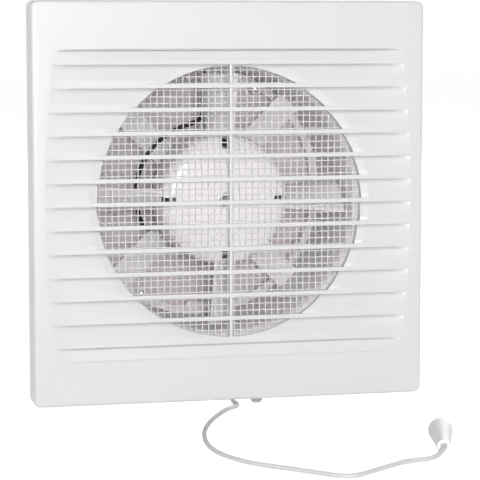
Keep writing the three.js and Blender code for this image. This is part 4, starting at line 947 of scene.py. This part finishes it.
class FAN_OT_cover(bpy.types.Operator):
    """Moulds the front cover: shell, shingled louvre field, open slats, upright rib and collar"""

    bl_idname = "fan.cover"
    bl_label = "Front cover"

    ramp = 30  # the strips reach their full depth this far in from the field's side
    groove = 1.1  # how much deeper the line under each lip is cut
    sink = 0.03  # how far the lips lie behind the border
    sheet = 1.8  # thickness of the louvre field
    lowest_strip = 6.4  # height of the strip under the last lip
    steps = 9  # points down each strip

    def execute(self, context):
        s = self.set = context.scene.fan_cover
        first = s.top - s.narrow
        many = 1 + round((s.top + first) / s.pitch)
        self.lips = [s.top, *[first - i * s.pitch for i in range(many)]]
        self.bottom = self.lips[-1] - self.lowest_strip
        shell = cut(self.shell(), self.cavity())
        front = self.grid(self.rows(0), lambda depth: self.sink + depth)
        ahead = self.grid(self.rows(0), lambda depth: -2)
        lifted = self.rows(s.lip - 0.4)
        back = self.grid(lifted, lambda depth: self.sheet + self.sink + depth, 0)
        inner = self.grid(lifted, lambda depth: s.wall / 2)
        collar = turned([(s.opening, s.wall / 2), (s.mouth + 1.6, s.wall / 2),
                         (s.mouth + 1.6, NET_LOW.y), (s.opening, NET_LOW.y)], 256)
        body = joined(shell, between(inner, back), collar)
        body = cut(body, between(ahead, front), rod(s.opening - s.overhang, -3, NET_LOW.y + 1, segments=256))
        bars = [z for z in self.lips if abs(z + s.lip / 2) < s.opening - 3]
        body = joined(body, *[self.slat(z) for z in bars], self.rib(), *self.lugs())
        body = cut(body, *[post(radius, -HALF - 1, -HALF + s.wall + 1, *middle(node)[:2])
                           for radius, node in ((1.85, "cover_screw"), (2.2, "cord_guide"))])
        piece(body, "louvred_cover", "white", "front_cover", crease=28)
        return {"FINISHED"}

    def shell(self):
        """The outside: a square with round corners and a round front edge, straight back to its rim."""
        s, steps = self.set, 8
        levels = []
        for i in range(steps + 1):
            angle = math.pi / 2 * i / steps
            inset = s.edge * (1 - math.sin(angle))
            levels.append((s.edge * (1 - math.cos(angle)), rounded_square(HALF - inset, s.corner - inset)))
        rim = COVER_HIGH.y
        return stacked([*levels, (rim - 0.3, levels[-1][1]), (rim, rounded_square(HALF - 0.3, s.corner - 0.3))])

    def cavity(self):
        s = self.set
        inside = HALF - s.wall
        levels = [(s.wall, inside - 1.2), (s.wall + 0.35, inside - 0.35), (s.wall + 1.2, inside),
                  (COVER_HIGH.y + 1, inside)]
        return stacked([(depth, rounded_square(half, s.corner - s.wall)) for depth, half in levels])

    def rows(self, lift):
        """Rows of the shingled sheet: (height, share of the full depth, strip, rounding of the lip's edge, groove)."""
        s = self.set
        rows = [(s.top + 0.5 + lift, 0, 0, 0, 0)]
        for strip, lip in enumerate(self.lips):
            last = strip + 1 == len(self.lips)
            following = self.bottom if last else self.lips[strip + 1] + s.lip
            rows += [(lip + lift, 0, strip, r, 0) for r in (1, 0.6, 0.25, 0)]
            rows += [(lip + lift, 0.5, strip, 0, 0.4), (lip + lift, 0.93, strip, 0, 0.9)]
            for k, groove in enumerate((1, 0.85, 0.15, *[0] * (self.steps - 1))):
                t = (max(k - 0.6, 0) / (self.steps + 0.4)) ** 1.15
                height = lip + (following - lip) * (0.03 + 0.97 * t)
                rows.append((height, (1 - t) ** 1.25, strip, 0, groove))
        return rows

    def grid(self, rows, depth_at, turned_in=1):
        """Points over the field, row by row from the left edge to the right."""
        s = self.set
        round_edge = 0.35
        points = []
        for height, share, strip, curl, groove in rows:
            edge = s.side - s.bow * (height / s.top) ** 2
            shallow = 0.55 if strip in (0, len(self.lips) - 1) else 1
            row = []
            half = self.columns(height, edge)
            for x in [*[-v for v in half], *reversed(half)]:
                t = min((edge - abs(x)) / self.ramp, 1)
                full = s.depth * shallow * t * (2 - t)
                soft = min(round_edge * min(full, 1), full)
                if curl:
                    own = soft * (1 - math.sin(math.pi / 2 * curl))
                elif share == 0:
                    own = soft
                else:
                    own = max(share * full, soft if share > 0.4 else 0)
                    own += groove * self.groove * min(max(edge - abs(x), 0) / 5, 1)
                up = soft * (1 - math.cos(math.pi / 2 * curl))
                row.append((x, depth_at(own + turned_in * self.turn_in(x, height)), height + up))
            points.append(row)
        return points

    def columns(self, height, edge):
        """Distances from the middle line: close together near the border, then along circles about the axis."""
        mouth, steps = self.set.mouth, 18
        radii = [mouth + 1.2, *[mouth - inset for inset in (0, 0.15, 0.3, 0.5, 0.8, 1.4, 2.1, 2.9, 3.8, 4.4)]]
        rings = [math.sqrt(max(radius ** 2 - height ** 2, 0)) for radius in radii]
        return [edge - (edge - rings[0]) * (k / steps) ** 1.3 for k in range(steps)] + rings

    def turn_in(self, x, height):
        """How far the sheet rolls back at the opening, except at its top, where the lip runs on unbroken."""
        inset = max(self.set.mouth - math.hypot(x, height), 0)
        bend, slope = 0.5, 0.17
        rolled = slope * (inset ** 2 / (2 * bend) if inset < bend else inset - bend / 2)
        return rolled * min(max((61 - height) / 7, 0), 1)

    def slat(self, z):
        """A lip that runs straight across the opening, thinner towards its back."""
        s = self.set
        far = s.depth + 0.3
        across = math.sqrt((s.mouth + 0.7) ** 2 - max(abs(z), abs(z + s.lip)) ** 2)
        section = filleted([(self.sink, z), (self.sink, z + s.lip), (far, z + s.lip - 0.2), (far, z + 0.6)], 0.35, 3)
        return loft([[(x, depth, height) for depth, height in section] for x in (-across, across)])

    def rib(self):
        far = self.set.depth + 0.3
        outline = filleted([(-0.7, 0.9), (0.7, 0.9), (0.62, far), (-0.62, far)], 0.3, 3)
        across = self.set.opening + 1
        return loft([[(x, depth, z) for x, depth in outline] for z in (-across, across)])

    def lugs(self):
        inside = HALF - self.set.wall
        return [box(x - 5, x + 5, 9, 11, inside - 2.4, inside + 0.5, 0.3) for x in LUGS]


# ---- Insect net ----


class FAN_OT_net(bpy.types.Operator):
    """Stretches the fine insect net in its flat rim"""

    bl_idname = "fan.net"
    bl_label = "Insect net"

    def execute(self, context):
        s = context.scene.fan_net
        inside = context.scene.fan_cover.opening + 0.2
        rim = hoop(inside, NET_HIGH.x, NET_LOW.y, NET_HIGH.y, 0.25)
        wires = repeated("wires", net_tree(), {
            "Reach": inside + 0.4, "Pitch": s.pitch, "Wire": s.wire, "Wave": s.wave, "Depth": NET_LOW.y + 0.42})
        piece(together(rim, wires), "insect_mesh", "net", "insect_net", crease=50)
        return {"FINISHED"}


# ---- Impeller ----


class FAN_OT_impeller(bpy.types.Operator):
    """Moulds the impeller: domed hub with four slots, sleeve, ribs and four twisted blades"""

    bl_idname = "fan.impeller"
    bl_label = "Impeller"

    def execute(self, context):
        s = context.scene.fan_impeller
        hub, slot = s.hub, s.slot_radius
        front = self.front = HUB_LOW.y + 0.9
        rear = HUB_HIGH.y
        cup = turned([
            *smooth_profile([(0, front - 0.9), (hub * 0.6, front - 0.5), (hub - 3.5, front + 0.7),
                             (hub - 1, front + 2.7), (hub, front + 6)], 0.8),
            (hub, rear - 0.4), (hub - 0.4, rear), (hub - 1.4, rear), (hub - 1.8, rear - 0.4),
            (hub - 1.8, front + 6), (hub - 5, front + 2.2), (0, front + 1.8)], 160)
        sleeve = turned([(0, front), (4.6, front), (4.6, front + 7.4), (4.3, front + 7.7), (0, front + 7.7)], 48)
        ribs = [box(-hub + 1, hub - 1, front + 1.4, front + 5.8, -0.7, 0.7, 0.2, a) for a in (45, 135)]
        rim = box(slot - 3.9, slot + 2.6, front + 0.2, front + 3, -2.4, 2.4, 0.45)
        rims = round_the_axis("slot_rims", rim, s.blades, "impeller")
        body = joined(cup, sleeve, *ribs, *[self.blade(s, 360 / s.blades * i) for i in range(s.blades)])
        body = joined(body, rims)
        slots = [box(slot - 3.2, slot + 3.2, front - 6, front + 7, -1.6, 1.6, 0.25, 90 * i) for i in range(4)]
        pocket = reach("impeller_clip")[1].x + 0.8
        body = cut(body, turned([(0, front - 3), (pocket, front - 3), (pocket, front), (0, front)], 64),
                   rod(1.85, front - 3, front + 9), *slots)
        piece(body, "impeller_moulding", "impeller", "impeller", body="rotor", crease=30)
        return {"FINISHED"}

    def blade(self, s, turn):
        """A cambered, twisted blade, its sections laid over one another from the hub to the tip."""
        spans, stations = 9, 14
        start, end = self.front + 2.5, HUB_HIGH.y - 1
        rows = []
        for i in range(spans + 1):
            radius = s.hub - 1.2 + (s.tip - 0.3 - s.hub + 1.2) * i / spans
            share = (radius - s.hub) / (s.tip - s.hub)
            lead, trail = 4.2 + 2.2 * share, -4.4 - 2.6 * share
            thinner = 1 - 0.35 * 0.6 if i == spans else 1
            upper, lower = [], []
            for k in range(stations + 1):
                t = k / stations
                x = lead + (trail - lead) * (1 - (1 - t) ** 1.7)
                depth = start + (end - start) * t
                half = (1.1 - 0.35 * share) * (0.3 + 0.7 * math.sin(math.pi * min(1, t * 0.85 + 0.15) ** 0.75))
                half *= thinner
                if k in (0, stations):
                    half *= 0.6
                upper.append((x + half, depth, radius))
                lower.append((x - half, depth, radius))
            rows.append(upper + lower[::-1])
        return swung(loft(rows), turn, "Y")


# ---- Housing ----


class FAN_OT_housing(bpy.types.Operator):
    """Moulds the housing: flange and rim, duct mouth, spigot, motor arms, seat and wire channel"""

    bl_idname = "fan.housing"
    bl_label = "Base housing"

    def execute(self, context):
        s = context.scene.fan_duct
        inner, outer = s.inner, s.inner + s.wall
        mouth, mouth_outer = context.scene.fan_cover.opening + 0.5, context.scene.fan_cover.opening + 3
        front, wall_plane, bracket, half = 13, 15, s.bracket, s.arm_width / 2
        through = (front - 1, wall_plane + 1)
        flange = slab(rounded_square(RIM, 3), front, wall_plane, 0.3)
        frame_wall = cut(slab(rounded_square(RIM, 3), 6, wall_plane, 0.3),
                         slab(rounded_square(RIM - 1.6, 1.4), 5, wall_plane + 1))
        duct = turned([
            (mouth + 0.3, NET_HIGH.y), (mouth_outer - 0.3, NET_HIGH.y), (mouth_outer, NET_HIGH.y + 0.3),
            (mouth_outer, front + 1), (outer, front + 1), (outer, DEPTH - 1), (outer - 0.3, DEPTH - 0.4),
            (outer - 0.8, DEPTH), (inner + 0.3, DEPTH), (inner, DEPTH - 0.3), (inner, front + 1),
            (inner + 0.25, front - 0.6), (inner + 0.9, front - 2), (mouth, NET_HIGH.y + 0.3)], 192)
        plate = cut(joined(flange, frame_wall), rod(inner + 1, *through, segments=192))
        arms = []
        for angle in (45, 135, 225, 315):
            arms += [box(0, inner + 1, bracket, bracket + 3, -half, half, 0.5, angle),
                     box(0, inner + 1, bracket + 2.4, bracket + 7.9, -0.8, 0.8, 0.3, angle)]
        seat = turned([(0, bracket), (24.6, bracket), (25, bracket + 0.4), (25, bracket + 2.6),
                       (24.6, bracket + 3), (0, bracket + 3)], 96)
        lead = bracket - LEAD_RAISED
        channel = cut(box(-2.2, 2.2, lead - 1.6, bracket + 3, 27, inner + 1, 0.2),
                      box(-1.3, 1.3, lead - 3, lead + 1.35, 26, inner + 4, 0.3))
        screw_x, screw_y, _ = middle("cover_screw")
        boss = box(screw_x - 3.4, screw_x + 3.4, 5.4, front + 1, -RIM + 1.6, -HALF + 13, 0.3)
        entry_x, _, entry_z = middle("cable_grommet")
        entry_low, entry_high = reach("cable_grommet")
        clamp_z = middle("cable_clamp")[2]
        clamp_posts = [rod(2.4, 10, front + 1, entry_x + x, clamp_z, 0.2) for x in (-4.6, 4.6)]
        body = joined(plate, duct, *arms, seat, channel, boss, *clamp_posts)
        hanging = (-HALF + 9.5, HALF - 9.5)
        cord_x = middle("cord_guide")[0]
        holes = [
            rod(4.5, bracket - 1, bracket + 9),
            *[rod(BOLT_HOLE, bracket - 1, bracket + 9, x) for x in (-22.3, 22.3)],
            post(LEAD_HOLE, inner - 2, outer + 2, 0, lead),
            rod(LEAD_HOLE, front - 2, wall_plane + 1, 0, mouth_outer + 1.8),
            *[rod(2.2, *through, x, z) for x in hanging for z in hanging],
            *[box(x - 6, x + 6, 8.4, 11.6, RIM - 2.6, RIM + 1) for x in LUGS],
            box(cord_x - 4, cord_x + 4, 5, front - 0.5, -RIM - 1, -RIM + 2.6),
            post(1.75, -HALF, -HALF + 11.5, screw_x, screw_y),
            rod((entry_high.x - entry_low.x) / 2 - 1, *through, entry_x, entry_z),
        ]
        for node, start in (("switch_screw_upper", front - 1), ("switch_screw_lower", front - 1),
                            ("clamp_screw_left", 9), ("clamp_screw_right", 9)):
            x, _, z = middle(node)
            holes.append(rod(1.3, start, wall_plane + 1, x, z))
        piece(cut(body, *holes), "housing_moulding", "housing", "base_housing", crease=28)
        return {"FINISHED"}


# ---- Motor ----


def crossed_head(radius, height, x, start, z, outwards=True):
    """A pan head with a cross recess, along the fan's axis; outwards is true where it faces the duct."""
    head = turned([(0, height), (radius * 0.45, height), (radius * 0.78, height * 0.86),
                   (radius * 0.95, height * 0.55), (radius, height * 0.2), (radius, 0), (0, 0)], 48)
    arm, width = radius * 0.62, radius * 0.11
    head = cut(head, *[box(-a, a, height * 0.35, height + 1, -b, b) for a, b in ((arm, width), (width, arm))])
    if not outwards:
        swung(head, 180, "Z")
    return shifted(head, (x, start, z))


class FAN_OT_motor(bpy.types.Operator):
    """Turns the motor's shells and bolts, and gives its inner parts their finishes"""

    bl_idname = "fan.motor"
    bl_label = "Motor"

    exit_angle, exit_depth = 218, 53.4  # where the lead leaves the rear shell

    def execute(self, context):
        front_low, front_high = reach("motor_front_shell")
        rear_low, rear_high = reach("motor_rear_shell")
        self.bolt_x = middle("motor_bolt_right")[0]
        front = self.drilled(self.shell(front_high.x, front_low.y, front_high.y, 1),
                             front_high.y - 11, front_high.y + 1)
        piece(front, "motor_shell_front", "zinc", "motor_front_shell")
        lead_exit = swung(post(LEAD_HOLE, rear_high.x - 3, rear_high.x + 3, 0, self.exit_depth),
                          90 - self.exit_angle, "Y")
        rear = self.drilled(self.shell(rear_high.x, rear_high.y, rear_low.y, -1),
                            rear_low.y - 1, rear_high.y + 1, lead_exit)
        piece(rear, "motor_shell_rear", "zinc", "motor_rear_shell")
        low, high = reach("stator_stack")
        yoke = self.drilled(hoop(19.5, high.x, low.y, high.y, 0.25, 2, 128), low.y - 1, high.y + 1)
        piece(yoke, "stator_laminations", "laminations", "stator_stack")
        for side, node in ((-1, "motor_bolt_left"), (1, "motor_bolt_right")):
            low, high = reach(node)
            shank = rod(1.25, low.y, high.y - 1.3, side * self.bolt_x, 0, 0.2, 32)
            head = crossed_head(2.5, 1.8, side * self.bolt_x, high.y - 1.8, 0)
            piece(together(shank, head), node + "_turned", "screw", node)
        dressed("laminations", "rotor_core")
        self.coil("coil_upper", 1)
        self.coil("coil_lower", -1)
        dressed("steel", "front_bearing", "rear_bearing")
        low, high = reach("motor_shaft")
        piece(rod(high.x, low.y, high.y, 0, 0, 0.35, 48), "shaft_turned", "steel", "motor_shaft", body="rotor")
        self.clip()
        self.lead(context)
        return {"FINISHED"}

    def drilled(self, solid, start, end, *others):
        """Cuts the two bolts' holes through a solid, and others after them."""
        return cut(solid, *[rod(BOLT_HOLE, start, end, x) for x in (-self.bolt_x, self.bolt_x)], *others)

    def shell(self, radius, closed_end, open_end, way):
        """An end shell with a round shoulder; way is 1 where it opens towards the duct."""
        steps, wall, shoulder = 6, 1.5, 2.4
        length = abs(open_end - closed_end)
        angles = [math.pi / 2 * k / steps for k in range(steps + 1)]
        profile = [(2.2, 0), (6, 0), (6.4, 0.5), (radius - 6, 0.5),
                   *[(radius - shoulder + shoulder * math.sin(a), shoulder * (1 - math.cos(a))) for a in angles],
                   (radius, length - 0.3), (radius - 0.3, length), (radius - wall, length), (radius - wall, 3),
                   (radius - 3, wall + 0.2), (6.7, wall + 0.2), (6.7, 5), (5.3, 5), (5.3, wall + 0.2), (2.2, wall)]
        return turned([(r, closed_end + way * d) for r, d in profile], 96)

    def coil(self, node, side):
        """A winding: one wire laid in layers of loops round the pole, inside the laminations' bore."""
        low, high = reach(node)
        wire, pitch, bore, thick = 0.34, 0.72, 19.2, 3.6
        near = min(abs(low.z), abs(high.z))
        half_x, half_y, depth = high.x - thick, (high.y - low.y) / 2 - thick, (low.y + high.y) / 2
        longer = half_y - half_x
        loops = []
        for layer in range(int(thick / pitch)):
            out = (layer + 0.5) * pitch
            top = min(math.sqrt(bore ** 2 - (half_x + out + wire) ** 2), near + thick)
            heights = [near + (row + 0.5) * pitch for row in range(int((top - near) / pitch))]
            corners = rounded_square(half_x + out, 0.8 + out, 4)
            loops += [[Vector((x, depth + y + math.copysign(longer, y), side * z)) for x, y in corners]
                      for z in (heights if layer % 2 == 0 else heights[::-1])]
        line = []
        for loop, following in zip(loops, loops[1:] + loops[-1:]):
            climb = 0.25 * len(loop)
            line += [point.lerp(following[k], max(0, (k - len(loop) + climb) / climb))
                     for k, point in enumerate(loop)]
        piece(tube(line, wire, 8), node + "_wound", "copper", node, crease=60)

    def clip(self):
        """A push-on clip: a thin washer with four inner claws."""
        low, high = reach("impeller_clip")
        ring = hoop(2.3, high.x, low.y, high.y, 0.12, 2, 64)
        claw = box(1.7, 2.6, low.y + 0.05, high.y - 0.05, -0.55, 0.55, 0.08)
        claws = round_the_axis("clip_claws", claw, 4, "steel", 45)
        piece(together(ring, claws), "retaining_clip", "steel", "impeller_clip", body="rotor")

    def lead(self, context):
        """The motor's lead: out of the rear shell, round the motor, up the channel and to the terminals."""
        duct = context.scene.fan_duct
        outer, turn, exit_depth = duct.inner + duct.wall, self.exit_angle, self.exit_depth
        outside, hole, lead = outer + 1.3, context.scene.fan_cover.opening + 4.8, duct.bracket - LEAD_RAISED
        block_x, block_z = reach("terminal_block")[1].x, middle("terminal_block")[2]
        route = [
            *[around(25.5 + lift, turn - lift * 1.2, exit_depth) for lift in (0.8, 3.5, 7.2)],
            *[around(33.6, angle, exit_depth - 1.5) for angle in (200, 184, 166, 148, 130, 112)],
            (-3, exit_depth - 1.2, 35), (-0.3, lead - 3, 39.5), (0, lead, 44), (0, lead, 51), (0, lead, duct.inner),
            (0, lead - 0.1, outer), (0, lead - 1.4, outside), (0, lead - 5, outside), (0, 40, outside),
            (0, 26, outside), (0, 19, hole - 0.6), (0, 15.5, hole), (0, 13, hole), (-1, 10.9, hole + 0.1),
            (-4.5, 10, hole + 0.6), (-20, 10, 70), (-40, 10, 71), (block_x + 5, 10, block_z),
            (block_x + 0.3, 10, block_z)]
        piece(tube(smooth_line(route, 0.9), 1.0, 14), "motor_lead_sheath", "black", "motor_lead", crease=60)


# ---- Switch, screw, guide and terminals ----


class FAN_OT_small_parts(bpy.types.Operator):
    """Turns the cover screw and the cord guide, and finishes the switch and the terminals"""

    bl_idname = "fan.small_parts"
    bl_label = "Screw, guide, switch and terminals"

    def execute(self, context):
        self.screw()
        self.guide(context)
        self.plunger_spring()
        self.switch_lead()
        dressed("white", "switch_plunger")
        dressed("switch_grey", "switch_body", "switch_lid", "terminal_block", "cable_clamp")
        dressed("black", "cable_grommet")
        dressed("screw", "terminal_screw_left", "terminal_screw_middle", "terminal_screw_right",
                "clamp_screw_left", "clamp_screw_right", "switch_screw_upper", "switch_screw_lower")
        return {"FINISHED"}

    def screw(self):
        low, high = reach("cover_screw")
        x, y, _ = middle("cover_screw")
        head = shifted(swung(crossed_head(2.8, 2.7, 0, 0, 0), -90, "X"), (x, y, low.z + 2.7))
        shank = post(1.35, low.z + 2.2, high.z, x, y, 0.3)
        turns = [k * math.pi / 8 for k in range(16 * 9)]
        thread = tube(helix(x, y, [(a, 1.32, low.z + 3.6 + a * 0.16) for a in turns]), 0.16, 5)
        piece(together(head, shank, thread), "cover_screw_turned", "cover_screw", "cover_screw")

    def plunger_spring(self):
        """A compression spring with closed ends."""
        low, high = reach("plunger_spring")
        x, y, _ = middle("plunger_spring")
        wire, turns, steps = 0.28, 5, 20
        radius = (high.x - low.x) / 2 - wire
        start, rise = low.z + wire, high.z - low.z - 2 * wire
        points = []
        for i in range(turns * steps + 1):
            t = i / (turns * steps)
            height = start + rise * (t - 0.5 / (2 * math.pi) * math.sin(2 * math.pi * t))
            points.append((2 * math.pi * turns * t, radius, height))
        made = piece(tube(helix(x, y, points), wire, 10), "plunger_spring_wound", "steel", "plunger_spring",
                     crease=60)
        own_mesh(made)

    def switch_lead(self):
        """The lead from the terminals down inside the flange to the switch."""
        route = [(-63, 10.4, 66), (-63.5, 10.4, 60), (-66.5, 10.8, 46), (-70.5, 10.8, 25),
                 *[around(72.5 + (angle - 180) / 12, angle, 10.8) for angle in (180, 200, 216, 230, 243, 252)],
                 (-15, 10.4, -76), (-8.9, 10.4, -76)]
        piece(tube(smooth_line(route, 1.2), 0.9, 12), "switch_lead_sheath", "black", "switch_lead", crease=60)

    def guide(self, context):
        """A collared bush with a flared mouth that the cord runs through."""
        low, high = reach("cord_guide")
        x, y, _ = middle("cord_guide")
        bore = context.scene.fan_cord.diameter / 2 + CORD_PLAY
        collar = (high.x - low.x) / 2
        stem, flange = collar - 1, -HALF - 0.3
        bush = turned([(bore + 1.2, low.z), (collar - 0.25, low.z), (collar, low.z + 0.2), (collar, flange),
                       (stem, flange), (stem, high.z - 0.2), (stem - 0.2, high.z), (bore, high.z),
                       (bore, low.z + 2.2), (bore + 0.3, low.z + 1.1)], 64)
        piece(shifted(swung(bush, 90, "X"), (x, y, 0)), "cord_bush", "white", "cord_guide")


# ---- Shutter ----


class FAN_OT_shutter(bpy.types.Operator):
    """Makes the shutter: ring with bosses and screws, pin, two ribbed leaves and their springs"""

    bl_idname = "fan.shutter"
    bl_label = "Backdraught shutter"

    sides = {"right": 1, "left": -1}
    pin_play = 0.3
    knuckles = {"right": ((26, 38), (-14, -2)), "left": ((12.5, 24.5), (-38, -26))}
    spring_seat = {"right": (0, 10), "left": (-25, -15)}
    screw_angles = (60, 150, 240, 330)
    thick = 1.2  # of a leaf

    def execute(self, context):
        s = context.scene.fan_duct
        self.pin_depth, self.pin_radius = middle("shutter_pin")[1], PIN_HIGH.x
        self.leaf_front = reach("leaf_right")[0].y
        self.ring()
        pin = post(self.pin_radius, PIN_LOW.z, PIN_HIGH.z, 0, self.pin_depth, 0.3)
        piece(pin, "shutter_pin_turned", "steel", "shutter_pin")
        for name in self.sides:
            self.leaf(s, name)
            self.spring(name)
        return {"FINISHED"}

    def ring(self):
        front, rear, inside = 66, 72, 56
        outside, boss_back, _ = reach("shutter_ring")[1]
        end, screws_at = PIN_HIGH.z, inside + 0.3
        bosses = [box(-2.8, 2.8, rear - 1, boss_back, low, low + 4.2, 0.5) for low in (end - 3.4, -end - 0.8)]
        bosses += [box(-6.5, 6.5, front, rear, low, high, 0.3)
                   for low, high in ((end - 5.2, inside + 1), (-inside - 1, 5.2 - end))]
        places = [on_circle(screws_at, angle) for angle in self.screw_angles]
        pads = [rod(2.8, front - 1.2, rear - 1, x, z, 0.3) for x, z in places]
        ring = joined(hoop(inside, outside, front, rear, 0.4, 3), *bosses, *pads)
        ring = cut(ring, post(self.pin_radius + self.pin_play, -end - 0.2, end + 0.2, 0, self.pin_depth),
                   *[rod(1.2, front - 2, rear + 1, x, z) for x, z in places])
        piece(ring, "shutter_ring_moulding", "frame", "shutter_ring")
        head = crossed_head(1.7, 1.0, screws_at, front - 1.3, 0, outwards=False)
        shank = rod(0.8, front - 1.5, rear - 1.5, screws_at, 0, 0.15, 24)
        screws = round_the_axis("ring_screws", together(head, shank), 4, "screw", self.screw_angles[0])
        piece(screws, "ring_screws_turned", "screw", *[f"ring_screw_{number}" for number in (1, 2, 3, 4)])

    def leaf(self, s, name):
        """A half disc with three stiffening ribs and two knuckles on the pin."""
        front, back = self.leaf_front, self.leaf_front + self.thick
        steps, start = 64, math.acos(0.5 / s.leaf)
        angles = [start - 2 * start * k / steps for k in range(steps + 1)]
        plate = slab([(s.leaf * math.cos(a), s.leaf * math.sin(a)) for a in angles], front, back, 0.2)
        notches = [box(-1, 5.4, front - 1, front + 4, z, z + 5.4) for z in (s.leaf - 4.4, -s.leaf - 1)]
        ribs = [box(4, math.sqrt(s.leaf ** 2 - z ** 2) - 4, back - 0.2, back + 1.2, z - 0.6, z + 0.6, 0.25)
                for z in (-30, 0, 30)]
        tubes = []
        for low, high in self.knuckles[name]:
            tubes += [post(2.2, low, high, 0, self.pin_depth, 0.25, 40),
                      box(0.6, 3.8, front + 0.3, self.pin_depth, low, high, 0.2)]
        made = joined(cut(plate, *notches), *ribs, *tubes)
        made = cut(made, post(self.pin_radius + self.pin_play, -s.leaf - 1, s.leaf + 1, 0, self.pin_depth))
        self.mirror(made, name)
        piece(made, f"shutter_leaf_{name}", "leaf", f"leaf_{name}", body=f"leaf_{name}")

    def spring(self, name):
        """A torsion spring round the pin, with one leg along the back of its leaf."""
        low, high = self.spring_seat[name]
        turns, steps = 3, 20
        start, end = low + 1.6, high - 1.6
        line = helix(0, self.pin_depth, [
            (2 * math.pi * i / steps + math.pi, self.pin_radius + 0.75, start + (end - start) * i / (turns * steps))
            for i in range(turns * steps + 1)])
        wire, gap = 0.3, 0.5
        behind = self.leaf_front + self.thick + gap + wire
        leg = [(-1.2, behind + 0.6, end + 0.3), (1.5, behind + 0.1, end + 0.4), (5, behind, end + 0.4),
               (13, behind, end + 0.4)]
        made = tube(line + smooth_line([line[-1], *leg], 0.5)[1:], wire, 10)
        self.mirror(made, name)
        piece(made, f"leaf_spring_{name}_wound", "steel", f"leaf_spring_{name}", body=f"leaf_{name}", crease=60)

    def mirror(self, obj, name):
        if self.sides[name] < 0:
            obj.data.transform(Matrix.Scale(-1, 4, (1, 0, 0)))
            obj.data.flip_normals()


# ---- Panel and registration ----

OPERATORS = (
    FAN_OT_stage, FAN_OT_pull_cord, FAN_OT_pull_knob, FAN_OT_cover, FAN_OT_net, FAN_OT_impeller, FAN_OT_housing,
    FAN_OT_motor, FAN_OT_small_parts, FAN_OT_shutter,
)


class FAN_PT_panel(bpy.types.Panel):
    """Lists the fan's pieces and their sizes"""

    bl_idname = "FAN_PT_panel"
    bl_label = "Exhaust fan"
    bl_space_type = "VIEW_3D"
    bl_region_type = "UI"
    bl_category = "Fan"

    def draw(self, context):
        for operator in OPERATORS:
            self.layout.operator(operator.bl_idname)
        for name, group in SETTINGS.items():
            column = self.layout.box()
            column.label(text=group.__doc__)
            for key in group.__annotations__:
                column.prop(getattr(context.scene, name), key)


def register():
    for group in SETTINGS.values():
        bpy.utils.register_class(group)
    for name, group in SETTINGS.items():
        setattr(bpy.types.Scene, name, PointerProperty(type=group))
    for shown in (*OPERATORS, FAN_PT_panel):
        bpy.utils.register_class(shown)


def unregister():
    for shown in (FAN_PT_panel, *reversed(OPERATORS)):
        bpy.utils.unregister_class(shown)
    for name in SETTINGS:
        delattr(bpy.types.Scene, name)
    for group in reversed(SETTINGS.values()):
        bpy.utils.unregister_class(group)


def main():
    register()
    for operator in OPERATORS:
        group, name = operator.bl_idname.split(".")
        getattr(getattr(bpy.ops, group), name)()


if __name__ == "__main__":
    main()
